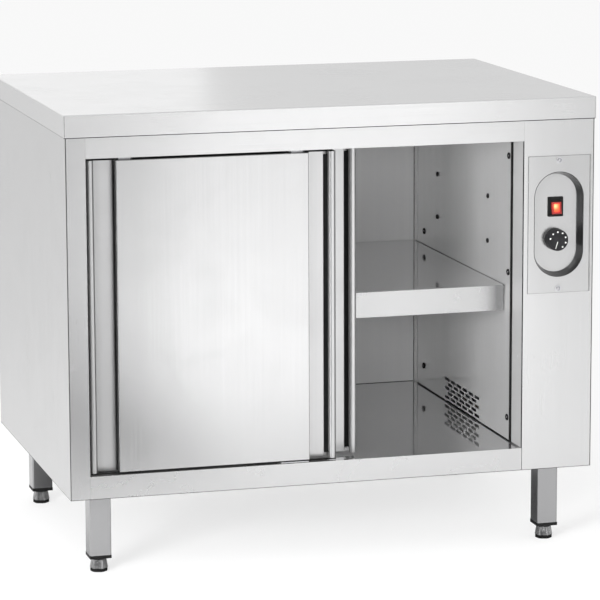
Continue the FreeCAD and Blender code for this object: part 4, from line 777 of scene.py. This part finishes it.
def makeRocker():
    pivot = Vector(joints["rocker_tilt"]["pos_m"])
    place = Matrix.Translation(pivot) @ Matrix.Rotation(math.radians(-rocker["tiltDegrees"]), 4, "X")
    cap = place @ Matrix.Translation((rocker["capAcross"], 0, rocker["capUp"]))
    lamp = cap @ Vector((rocker["lampAcross"], -rocker["crown"] - rocker["capProud"], rocker["lampUp"]))
    for name in litReds:
        materials[name] = makeLitRed(name, lamp)
    shape = moved(curvedSlab(rocker["width"], rocker["height"], rocker["back"], 0), place)
    piece = makePiece("rockerBody", shape, "blackPlastic", "switch_rocker")
    roundWith(piece, rocker["rounding"])
    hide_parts("switch_rocker")
    inside = -rocker["crown"] / 2
    shape = moved(curvedSlab(rocker["capWidth"], rocker["capHeight"], inside, rocker["capProud"]), cap)
    piece = makePiece("rockerCap", shape, "rockerRed", "switch_rocker")
    roundWith(piece, rocker["rounding"])
    proud = rocker["capProud"] + rocker["lensProud"]
    shape = moved(curvedSlab(rocker["lensWidth"], rocker["lensHeight"], inside, proud), cap)
    piece = makePiece("rockerLens", shape, "rockerGlow", "switch_rocker")
    roundWith(piece, rocker["lensProud"])
    reach = rocker["width"] / 2 + rocker["pinReach"]
    pin = turnedShape([(rocker["pinRadius"], -reach), (rocker["pinRadius"], reach)], 24)
    shape = moved(pin, Matrix.Translation(pivot) @ Matrix.Rotation(math.radians(90), 4, "Y"))
    makePiece("rockerPins", shape, "blackPlastic", "switch_rocker")


makeRocker()
print("rocker built")


# Screws: domed heads with a crossed recess
screw = {
    "headRadius": 4 * mm, "recessReach": 2.1 * mm, "recessHalf": 0.42 * mm, "recessDepth": 0.9 * mm,
    "shank": 2 * mm, "shankLength": 3 * mm, "rings": 14, "segments": 48, "lift": 0.05 * mm,
    "spinDegrees": 17, "slack": 0.2 * mm,
}


def screwHead(height):
    radius = screw["headRadius"]
    sphere = (radius * radius + height * height) / (2 * height)
    profile = [(screw["shank"], -screw["shankLength"]), (screw["shank"], -0.01 * mm), (radius * 0.97, 0)]
    for step in range(screw["rings"]):
        reach = radius * (1 - step / screw["rings"])
        profile.append((reach, height - sphere + math.sqrt(sphere * sphere - reach * reach) + screw["lift"]))
    profile.append((0.1 * mm, height + screw["lift"]))
    points, faces = turnedShape(profile, screw["segments"])
    for point in points:
        if point.z > 0:
            narrow, wide = sorted((abs(point.x), abs(point.y)))
            inside = narrow < screw["recessHalf"] * 1.25 and wide < screw["recessReach"]
            sunk = screw["recessDepth"] * (1 - 0.55 * wide / screw["recessReach"]) if inside else 0
            point.z = max(point.z - sunk, 0.1 * mm)
    return points, faces


def makeScrews():
    shapes = []
    for low, high, corners in solidBoxes("screws"):
        size = high - low
        axis = min(range(3), key=lambda number: abs(size[number] - 2 * screw["headRadius"]) < screw["slack"])
        centre = (low + high) / 2
        levels = []
        for point in corners:
            away = sum((point[n] - centre[n]) ** 2 for n in range(3) if n != axis)
            if away > screw["shankLength"] ** 2:
                levels.append(point[axis])
        side = 1 if sum(levels) / len(levels) > centre[axis] else -1
        height = max(levels) - min(levels)
        direction = Vector([side if number == axis else 0 for number in range(3)])
        base = centre.copy()
        base[axis] = min(levels) if side > 0 else max(levels)
        turn = direction.to_track_quat("Z", "Y").to_matrix().to_4x4()
        spin = Matrix.Rotation(math.radians(screw["spinDegrees"] * len(shapes)), 4, "Z")
        shapes.append(moved(screwHead(height - screw["lift"]), Matrix.Translation(base) @ turn @ spin))
    piece = makePiece("domedScrews", shapes, "turnedSteel", "cabinet")
    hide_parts("screws")
    print("screws built:", len(shapes))


makeScrews()


# Small trim inside: black bushes in the free peg holes and black washers under the wall screws
wallTrim = {
    "pegPitch": 86 * mm, "freeRows": (1, 2), "bushRadius": 4.6 * mm, "bushProud": 2.6 * mm,
    "bushBore": 2.3 * mm, "bushEdge": 0.5 * mm, "shank": 3.1 * mm, "shankLength": 3 * mm,
    "coreProud": 1.5 * mm, "coreEdge": 0.6 * mm, "washerRadius": 6 * mm, "washerThickness": 2.5 * mm,
    "washerBore": 4.1 * mm, "washerEdge": 0.6 * mm, "columnInside": 480 * mm,
}


def wallPlace(low, high, lift=0):
    # local +Z looks into the compartment from the wall that carries the solid in this box
    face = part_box("partition_wall")[0].x if low.x > 0 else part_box("left_inner_wall")[1].x
    turn = Matrix.Rotation(math.radians(90 if face < 0 else -90), 4, "Y")
    return Matrix.Translation((face, (low.y + high.y) / 2, (low.z + high.z) / 2 + lift)) @ turn


def ringShape(bore, radius, top, rounding, segments=32):
    profile = [(bore, 0), (radius, 0)]
    profile += arcPoints((radius - rounding, top - rounding), rounding, 0, 90, 4)
    profile += arcPoints((bore + rounding, top - rounding), rounding, 90, 180, 4)
    points, faces = turnedShape(profile, segments)
    inside = []
    last = (len(profile) - 1) * segments
    for step in range(segments):
        after = (step + 1) % segments
        inside.append((step, last + step, last + after, after))
    return points, faces[:-2] + inside


def makeWallTrim():
    bore, edge = wallTrim["bushBore"], wallTrim["coreEdge"]
    ring = ringShape(bore, wallTrim["bushRadius"], wallTrim["bushProud"], wallTrim["bushEdge"])
    shank = turnedShape([(wallTrim["shank"], -wallTrim["shankLength"]), (wallTrim["shank"], 0.1 * mm)], 24)
    profile = [(bore, 0.05 * mm)] + arcPoints((bore * 0.4, wallTrim["coreProud"] - edge), edge, 10, 85, 4)
    core = turnedShape(profile, 24)
    bushes = []
    cores = []
    for low, high, corners in solidBoxes("shelf_pegs"):
        for row in wallTrim["freeRows"]:
            place = wallPlace(low, high, row * wallTrim["pegPitch"])
            bushes += [moved(ring, place), moved(shank, place)]
            cores.append(moved(core, place))
    makePiece("pegHoleBushes", bushes, "blackPlastic", "cabinet")
    makePiece("pegHoleCores", cores, "turnedSteel", "cabinet")
    ring = ringShape(
        wallTrim["washerBore"], wallTrim["washerRadius"], wallTrim["washerThickness"], wallTrim["washerEdge"],
    )
    washers = []
    for low, high, corners in solidBoxes("screws"):
        size = high - low
        if abs(size.y - size.z) <= screw["slack"] and abs(low.x) <= wallTrim["columnInside"]:
            washers.append(moved(ring, wallPlace(low, high)))
    makeRubber("wallScrewWashers", washers)
    print("wall trim built:", len(cores), "bushes,", len(washers), "washers")


makeWallTrim()


# Seams: a dark bead that paints the lip's shadow, fine joints between the sheets, painted shade lines, and
# rubber in the gaps
seams = inMm({
    "overlap": 0.02, "beadOut": 1.6, "beadHeight": 1.7, "jointHalf": 0.45, "jointProud": 0.12,
    "cornerHalf": 0.6, "baseDrop": 0.8, "baseWidth": 3, "flangeWidth": 24, "flangeThickness": 0.8,
    "panFold": 2.8, "panLine": 2.2, "gapProud": 2.2, "gapDeep": 2.5, "cornerLine": 0.8, "shelfGuard": 2.1,
    "shelfGuardHeight": 3, "shelfGuardInset": 2, "shelfGuardDrop": 0.3, "plateShadeOut": 0.5,
    "plateShadeRight": 2.8, "plateShadeSunk": 0.9, "jambLeaf": 0.5, "jambStart": 0.6, "jambLine": 4.5,
    "tubWidth": 95, "tubHeight": 195, "tubShadeBead": 0.5, "cupBore": 4.1, "cupRadius": 6.4, "cupHeight": 0.9,
    "cupEdge": 0.35, "softEdge": 0.3,
})
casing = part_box("left_side_panel")[0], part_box("right_side_panel")[1]
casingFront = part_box("right_side_panel")[0].y
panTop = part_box("floor_pan")[1].z
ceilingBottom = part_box("inner_ceiling")[0].z


def closedRings(points, count):
    # a skin that runs through rings of this many points and back to the first ring
    rings = len(points) // count
    faces = []
    for ring in range(rings):
        here, after = ring * count, (ring + 1) % rings * count
        for corner in range(count):
            beside = (corner + 1) % count
            faces.append((here + corner, here + beside, after + beside, after + corner))
    return points, faces


def halfRound(half, proud, stepDegrees):
    turns = [math.radians(degrees) for degrees in range(0, 181, stepDegrees)]
    return [(half * math.cos(turn), proud * math.sin(turn)) for turn in turns]


def makeLipShadeBead():
    # a black bead that paints the shadow the worktop's lip casts on the casing
    low, high = casing
    out, drop, lap = seams["beadOut"], seams["beadHeight"], seams["overlap"]
    points = []
    for reach, rise in ((-lap, -drop), (out * 0.7, -drop * 0.8), (out, -lap), (-lap, -lap)):
        xs, ys = (low.x - reach, high.x + reach), (low.y - reach, high.y + reach)
        for x, y in ((xs[0], ys[0]), (xs[1], ys[0]), (xs[1], ys[1]), (xs[0], ys[1])):
            points.append(Vector((x, y, high.z + rise)))
    makeRubber("lipShadeBead", closedRings(points, 4))


def uprightBead(x, bottom, top, half):
    # a half-round bead on the casing's front
    outline = halfRound(half, seams["jointProud"], 30)
    points = []
    for level in (bottom, top):
        points += [Vector((x + across, casingFront - rise, level)) for across, rise in outline]
    count = len(outline)
    faces = [tuple(range(count)), tuple(reversed(range(count, 2 * count)))]
    for step in range(count):
        after = (step + 1) % count
        faces.append((step, count + step, count + after, after))
    return points, faces


def makeJointsAndCornerShade():
    right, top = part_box("top_rail")[1].x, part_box("top_rail")[1].z
    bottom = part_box("floor_pan")[0].z
    half = seams["cornerHalf"]
    beads = [uprightBead(right, bottom, panTop, seams["jointHalf"])]
    # black beads on the casing's front corners paint the dark reflection of the folds
    for x in (casing[0].x + half, casing[1].x - half):
        beads.append(uprightBead(x, bottom, top - seams["beadHeight"], half))
    makeRubber("railJointsAndCornerShade", beads)


def makeBackFlanges():
    # the back wall's folded edges, laid against the two side linings
    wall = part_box("inner_back_wall")
    ys, zs = (wall[0].y - seams["flangeWidth"], wall[0].y), (panTop - seams["panFold"], ceilingBottom)
    shapes = []
    for x, side in ((wall[0].x, 1), (wall[1].x, -1)):
        shapes.append(boxShape((x, x + side * seams["flangeThickness"]), ys, zs))
    piece = makePiece("backWallFlanges", shapes, "liningSteel", "cabinet")
    roundWith(piece, seams["softEdge"], 2)


def makeGapProfiles():
    # black rubber in the gap between each jamb and the side lining behind it
    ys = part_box("top_rail")[1].y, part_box("partition_wall")[0].y
    shapes = []
    for x, side in ((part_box("left_inner_wall")[1].x, -1), (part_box("partition_wall")[0].x, 1)):
        xs = x - side * seams["gapProud"], x + side * seams["gapDeep"]
        shapes.append(boxShape(xs, ys, (panTop, ceilingBottom)))
    roundWith(makeRubber("jambProfiles", shapes), seams["softEdge"], 2)


def makeCornerLines():
    # fine dark joints where the back wall meets its flanges and the floor
    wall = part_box("inner_back_wall")
    line = seams["cornerLine"]
    left, right = wall[0].x + seams["flangeThickness"], wall[1].x - seams["flangeThickness"]
    ys = wall[0].y - line, wall[0].y
    bottom = panTop - seams["panFold"]
    makeRubber("cornerLines", [
        boxShape((left, left + line), ys, (bottom, ceilingBottom)),
        boxShape((right - line, right), ys, (bottom, ceilingBottom)),
        boxShape((left + line, right - line), ys, (bottom, panTop - seams["panLine"])),
    ])


def makeShelfGuards():
    # black strips that close the gap between the shelf's ends and the walls
    low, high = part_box("shelf")
    deep, out = seams["shelfGuardInset"], seams["shelfGuard"]
    top = high.z - seams["shelfGuardDrop"]
    zs = top - seams["shelfGuardHeight"], top
    shapes = []
    for x, side in ((low.x, -1), (high.x, 1)):
        shapes.append(boxShape((x, x + side * out), (low.y + deep, high.y - deep), zs))
    shapes.append(boxShape((low.x + deep, high.x - deep), (high.y, high.y + out), zs))
    roundWith(makeRubber("shelfGuards", shapes, "shelf"), 0.4 * mm, 2)


def makeBaseLine():
    # black strip under the casing's lower edge
    low, high = casing
    wide = seams["baseWidth"]
    xs, ys = (low.x, high.x), (low.y + wide, high.y - wide)
    spans = [(xs, (low.y, low.y + wide)), (xs, (high.y - wide, high.y))]
    spans += [((low.x, low.x + wide), ys), ((high.x - wide, high.x), ys)]
    makeRubber("baseLine", [boxShape(x, y, (low.z - seams["baseDrop"], low.z)) for x, y in spans])


def makeJambLightAndShade():
    # a bright leaf on the right jamb, painted reflection, with a dark line at its front and a rubber one on
    # the left jamb, both painted shade
    low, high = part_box("top_rail")
    left, right = (low.x, low.x + seams["jambLeaf"]), (high.x - seams["jambLeaf"], high.x)
    start, turn = low.y + seams["jambStart"], low.y + seams["jambLine"]
    zs = panTop, low.z
    shape = boxShape(right, (turn, high.y), zs)
    roundWith(makePiece("jambLitFacing", shape, "litJambSteel", "cabinet"), 0.15 * mm, 2)
    makeRubber("jambShadeStrips", [boxShape(right, (start, turn), zs), boxShape(left, (start, high.y), zs)])


def makePlateShadeFrame():
    # a thin grey frame round the control plate that paints the shade at its edges, widest at its right
    low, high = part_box("control_plate")
    out = seams["plateShadeOut"]
    right = high.x + seams["plateShadeRight"]
    xs, zs = (low.x - out, right), (low.z, high.z)
    sides = [(xs, (low.z - out, low.z)), (xs, (high.z, high.z + out))]
    sides += [((low.x - out, low.x), zs), ((high.x, right), zs)]
    shapes = [boxShape(x, (low.y + seams["plateShadeSunk"], casingFront), z) for x, z in sides]
    makePiece("plateShadeFrame", shapes, "plateShadeGrey", "cabinet")


def makeTubShadeBead():
    # a fine dark bead round the mouth of the pressed tub, painted shade at its rim
    low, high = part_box("control_plate")
    half = seams["tubShadeBead"]
    radius = seams["tubWidth"] / 2 + half
    straight = (seams["tubHeight"] - seams["tubWidth"]) / 2
    middle = (low + high) / 2
    section = halfRound(half, 0.3 * half, 45)
    points = []
    steps = 96
    for step in range(steps):
        angle = 2 * math.pi * step / steps
        shift = straight if math.sin(angle) >= 0 else -straight
        for out, rise in section:
            x = middle.x + (radius + out) * math.cos(angle)
            points.append(Vector((x, low.y - rise, middle.z + shift + (radius + out) * math.sin(angle))))
    makeRubber("tubShadeBead", closedRings(points, len(section)))


def makeScrewCups():
    # bright cup washers under the control plate's two screws
    cup = ringShape(seams["cupBore"], seams["cupRadius"], seams["cupHeight"], seams["cupEdge"])
    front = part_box("control_plate")[0].y
    shapes = []
    for low, high, corners in solidBoxes("screws"):
        if low.y <= casingFront and abs(high.x - low.x - 2 * screw["headRadius"]) <= screw["slack"]:
            place = Matrix.Translation(((low.x + high.x) / 2, front, (low.z + high.z) / 2))
            shapes.append(moved(cup, place @ facingFront))
    makePiece("plateScrewCups", shapes, "turnedSteel", "cabinet")
    print("screw cups built:", len(shapes))


makeLipShadeBead()
makeJointsAndCornerShade()
makeBackFlanges()
makeGapProfiles()
makeCornerLines()
makeShelfGuards()
makeBaseLine()
makeJambLightAndShade()
makePlateShadeFrame()
makeTubShadeBead()
makeScrewCups()
print("seams built")


# Door trim: black caps of painted shade on the tops, a bright leaf in each left slot, and a strip of painted
# shade under the front door
doorTrim = inMm({
    "capHeight": 0.6, "capInset": 1, "capStep": 3, "skinInset": 0.3, "skinBehind": 0.8, "hangerWidth": 20,
    "shortest": 2, "noseWidth": 12.9, "stripBehindNose": 18, "leafThickness": 0.4, "leafWidth": 6.6,
    "shadeStripDrop": 2.3, "shadeStripStart": 3.5, "shadeStripEnd": 6.5,
})


def makeDoorTrim(door):
    low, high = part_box(door + "_grips")
    skinLow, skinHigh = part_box(door + "_outer_skin")
    inset = doorTrim["capInset"]
    near = skinLow.y + doorTrim["skinBehind"]
    inner, outer = skinLow.x + doorTrim["skinInset"], skinHigh.x - doorTrim["skinInset"]
    hangers = sorted((box[0].x, box[1].x) for box in solidBoxes(door + "_hangers"))
    hangers = [span for span in hangers if span[1] - span[0] > doorTrim["hangerWidth"]]
    starts = [inner] + [span[1] + inset for span in hangers]
    ends = [span[0] - inset for span in hangers] + [outer]
    step = low.y + doorTrim["capStep"]
    spans = [(low.x + inset, inner, step), (outer, high.x - inset, step)]
    spans += [(start, end, near) for start, end in zip(starts, ends) if end - start > doorTrim["shortest"]]
    # black caps paint the shade in the gap above the door
    zs = high.z, high.z + doorTrim["capHeight"]
    shapes = [boxShape((start, end), (y, high.y - inset), zs) for start, end, y in spans]
    makeRubber(door + "_caps", shapes, door)
    print(door, "cap spans:", len(spans))
    left = low.x + doorTrim["noseWidth"]
    thick = doorTrim["leafThickness"]
    level = low.y + doorTrim["stripBehindNose"] - thick
    ys, zs = (level, level + 2 * thick), (low.z + inset, high.z - inset)
    leaf = boxShape((left, left + doorTrim["leafWidth"]), ys, zs)
    makePiece(door + "_slot_leaf", leaf, "doorSteel", door)


def makeDoorShadeStrip():
    # black strip under the front door, a little behind its skin, painted shade in the gap below it
    low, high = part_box("front_door_grips")
    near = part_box("front_door_outer_skin")[0].y + doorTrim["skinBehind"]
    xs = low.x + doorTrim["capInset"], high.x - doorTrim["capInset"]
    ys = near + doorTrim["shadeStripStart"], near + doorTrim["shadeStripEnd"]
    makeRubber("front_door_shade_strip", boxShape(xs, ys, (low.z - doorTrim["shadeStripDrop"], low.z)), "front_door")


for door in ("front_door", "rear_door"):
    makeDoorTrim(door)
makeDoorShadeStrip()
print("door trim built")


# Adjustable feet: a threaded spindle in a six-sided body, on a rubber pad
foot = {
    "baseFlat": 15.2 * mm, "baseCorner": 16.6 * mm, "baseHeight": 18 * mm, "baseEdge": 0.8 * mm,
    "topShare": 0.84, "topChamfer": 1.6 * mm, "bodySegments": 96, "threadSegments": 40,
    "threadRadius": 5 * mm, "threadDepth": 0.8 * mm, "threadStart": 1 * mm, "pitch": 1.5 * mm,
    "padFlat": 14.9 * mm, "padCorner": 15.8 * mm, "padEdge": 0.8 * mm, "turnDegrees": 12,
    "sharpDegrees": 28,
}


def sixSided(flat, corner):
    # makes a turned ring six-sided, with blunted corners
    def reachAt(radius, height, angle):
        share = (math.degrees(angle) - foot["turnDegrees"] + 30) % 60 - 30
        return min(flat / math.cos(math.radians(share)), corner) * radius / corner
    return reachAt


def makeFoot(corner):
    body = "foot_" + corner
    low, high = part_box("foot_spindle_" + corner)
    padLow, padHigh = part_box("foot_pad_" + corner)
    place = Matrix.Translation(((low.x + high.x) / 2, (low.y + high.y) / 2, 0))
    base, edge, chamfer = foot["baseCorner"], foot["baseEdge"], foot["topChamfer"]
    top = low.z + foot["baseHeight"]
    profile = [(base - edge, low.z), (base, low.z + edge)]
    for share in (0.25, 0.5, 0.75, 1.0):
        drop = (1 - foot["topShare"]) * share
        profile.append((base * (1 - drop), low.z + edge + (foot["baseHeight"] - edge - chamfer) * share))
    profile.append((base * foot["topShare"] - chamfer, top))
    shapes = [turnedShape(profile, foot["bodySegments"], sixSided(foot["baseFlat"], base))]
    thread = []
    inner, crest = foot["threadRadius"] - foot["threadDepth"], foot["threadRadius"] - 0.1 * mm
    pitch = foot["pitch"]
    level = top - foot["threadStart"]
    while level < high.z - 2 * pitch:
        for radius, share in ((inner, 0), (crest, 0.4), (crest, 0.55), (inner, 0.95)):
            thread.append((radius, level + share * pitch))
        level += pitch
    shapes.append(turnedShape(thread, foot["threadSegments"], None, pitch))
    shape, sharp = moved(joined(shapes), place), foot["sharpDegrees"]
    piece = makePiece("footBody_" + corner, shape, "footSteel", body, sharp)
    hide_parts("foot_spindle_" + corner)
    edge, reach = foot["padEdge"], foot["padCorner"]
    profile = [(reach - 1.6 * edge, padLow.z)]
    profile += arcPoints((reach - edge, padLow.z + edge), edge, -60, 0, 4)
    profile.append((reach, padHigh.z - edge))
    profile += arcPoints((reach - edge, padHigh.z - edge), edge, 0, 90, 4)
    shape = turnedShape(profile, foot["bodySegments"], sixSided(foot["padFlat"], reach))
    piece = makeRubber("footPad_" + corner, moved(shape, place), body)
    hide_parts("foot_pad_" + corner)


for side in ("left", "right"):
    for end in ("front", "rear"):
        makeFoot(end + "_" + side)
print("feet built")


# Studio: pale floor, soft world and soft lamps
studio = {
    "floorSize": 60, "floorColour": (0.82, 0.82, 0.82, 1), "floorCloud": (0.86, 0.86, 0.86, 1),
    "floorFaint": (0.42, 0.42, 0.42, 1), "floorLift": 0.57, "glossyShare": 0.35, "white": (1, 1, 1, 1),
    "unlit": (0.02, 0.02, 0.02, 1), "horizon": (0.80, 0.80, 0.80, 1), "zenith": (0.90, 0.90, 0.90, 1),
    "worldStrength": 1.0,
    # unlit sides of the studio: turn from the front to the right, half width, share
    "darkSides": ((-24.5, 23.2, 0.92), (80, 36, 0.45)), "darkEdgeDegrees": 9, "darkStart": 0.9,
    "darkReach": 0.5, "underHalf": (0.40, 0.24), "underEdge": 0.14, "underShare": 0.9,
}
lamps = {
    "frontGlow": {"place": (0.42, -1.75, 0.42), "aim": (0.06, -0.35, 0.50), "size": (0.8, 1.1), "power": 1.6},
    "topGlow": {"place": (-0.45, 1.9, 1.35), "aim": (-0.35, 0.0, 0.85), "size": (1.6, 1.0), "power": 1.4},
    "keySoft": {"place": (-2.2, -2.6, 3.4), "aim": (0, 0, 0.4), "size": (2.4, 2.4), "power": 22.0},
    "doorwayFill": {"place": (-1.05, -3.9, 1.05), "aim": (0.1, 0, 0.5), "size": (1.6, 1.0), "power": 54.0},
    "sideFill": {"place": (-2.5, -2.7, 0.95), "aim": (0.3, 0, 0.5), "size": (1.2, 1.0), "power": 155.0},
}
unmirrored = ("doorwayFill", "sideFill")


def darkSector(tree, x, y):
    # how far a direction lies in the unlit sides
    turn = calc(tree, "ARCTAN2", x, times(tree, y, -1.0))
    dark = 0.0
    soft = studio["darkEdgeDegrees"] / 2
    for middle, half, share in studio["darkSides"]:
        offset = calc(tree, "ABSOLUTE", calc(tree, "SUBTRACT", turn, math.radians(middle)))
        outer, inner = math.radians(half + soft), math.radians(half - soft)
        dark = calc(tree, "MAXIMUM", dark, remap(tree, offset, outer, inner, 0.0, share))
    return dark


def makeFloor():
    half = studio["floorSize"] / 2
    mesh = bpy.data.meshes.new("paleFloor")
    corners = [(-half, -half, 0), (half, -half, 0), (half, half, 0), (-half, half, 0)]
    mesh.from_pydata(corners, [], [(0, 1, 2, 3)])
    floor = bpy.data.objects.new("paleFloor", mesh)
    bpy.context.scene.collection.objects.link(floor)
    material, tree, where = startMaterial("paleFloor")
    tree.nodes.remove(tree.nodes["Principled BSDF"])

    def diffuse(colour):
        return add(tree, "ShaderNodeBsdfDiffuse", {"Color": colour}).outputs[0]

    # cameras, and reflections in part, see a nearly shadeless floor
    path = add(tree, "ShaderNodeLightPath").outputs
    glossy = times(tree, path["Is Glossy Ray"], studio["glossyShare"])
    through = times(tree, path["Is Transmission Ray"], studio["glossyShare"])
    mask = calc(tree, "ADD", path["Is Camera Ray"], calc(tree, "ADD", glossy, through), clamp=True)
    tone = mixColours(tree, noise(tree, where, 0.8), studio["floorColour"], studio["floorCloud"])
    inputs = {"Color": studio["white"], "Strength": studio["floorLift"]}
    light = add(tree, "ShaderNodeEmission", inputs).outputs[0]
    lifted = add(tree, "ShaderNodeAddShader", {0: diffuse(studio["floorFaint"]), 1: light}).outputs[0]
    shown = mixShaders(tree, mask, diffuse(tone), lifted)
    # reflections see a painted shadow on the floor under the cabinet, and a dark floor in the unlit sides of
    # the studio
    x, y, z = split(tree, where)
    far = add(tree, "ShaderNodeVectorMath", {0: where}, operation="LENGTH").outputs["Value"]
    start = studio["darkStart"]
    fading = remap(tree, far, start, start + studio["darkReach"])
    sector = times(tree, darkSector(tree, x, y), fading)
    beyond = [
        calc(tree, "SUBTRACT", calc(tree, "ABSOLUTE", part), reach)
        for part, reach in zip((x, y), studio["underHalf"])
    ]
    under = remap(tree, calc(tree, "MAXIMUM", *beyond), studio["underEdge"], 0.0, 0.0, studio["underShare"])
    dark = times(tree, path["Is Glossy Ray"], calc(tree, "MAXIMUM", sector, under))
    seen = mixShaders(tree, dark, shown, diffuse(studio["unlit"]))
    feed(tree, tree.nodes["Material Output"].inputs["Surface"], seen)
    mesh.materials.append(material)


def makeWorld():
    world = bpy.data.worlds.new("softStudio")
    bpy.context.scene.world = world
    world.use_nodes = True
    tree = world.node_tree
    x, y, z = split(tree, add(tree, "ShaderNodeTexCoord").outputs["Generated"])
    tone = mixColours(tree, remap(tree, z, 0.0, 0.8), studio["horizon"], studio["zenith"])
    low = remap(tree, z, 0.75, 0.35)
    path = add(tree, "ShaderNodeLightPath").outputs
    unlit = times(tree, times(tree, darkSector(tree, x, y), low), path["Is Glossy Ray"])
    tone = mixColours(tree, unlit, tone, studio["unlit"])
    camera = path["Is Camera Ray"]
    back = tree.nodes["Background"]
    feed(tree, back.inputs["Color"], mixColours(tree, camera, tone, studio["white"]))
    feed(tree, back.inputs["Strength"], mixValues(tree, camera, studio["worldStrength"], 1.0))


def makeLamps():
    for name, lamp in lamps.items():
        data = bpy.data.lights.new(name, "AREA")
        data.shape = "RECTANGLE"
        data.size, data.size_y = lamp["size"]
        data.energy = lamp["power"]
        light = bpy.data.objects.new(name, data)
        light.location = lamp["place"]
        aim = Vector(lamp["aim"]) - Vector(lamp["place"])
        light.rotation_euler = aim.to_track_quat("-Z", "Y").to_euler()
        light.visible_camera = False
        light.visible_glossy = name not in unmirrored
        bpy.context.scene.collection.objects.link(light)


makeCamera()
makeFloor()
makeWorld()
makeLamps()
bpy.context.scene.view_settings.view_transform = "Standard"
print("studio built")
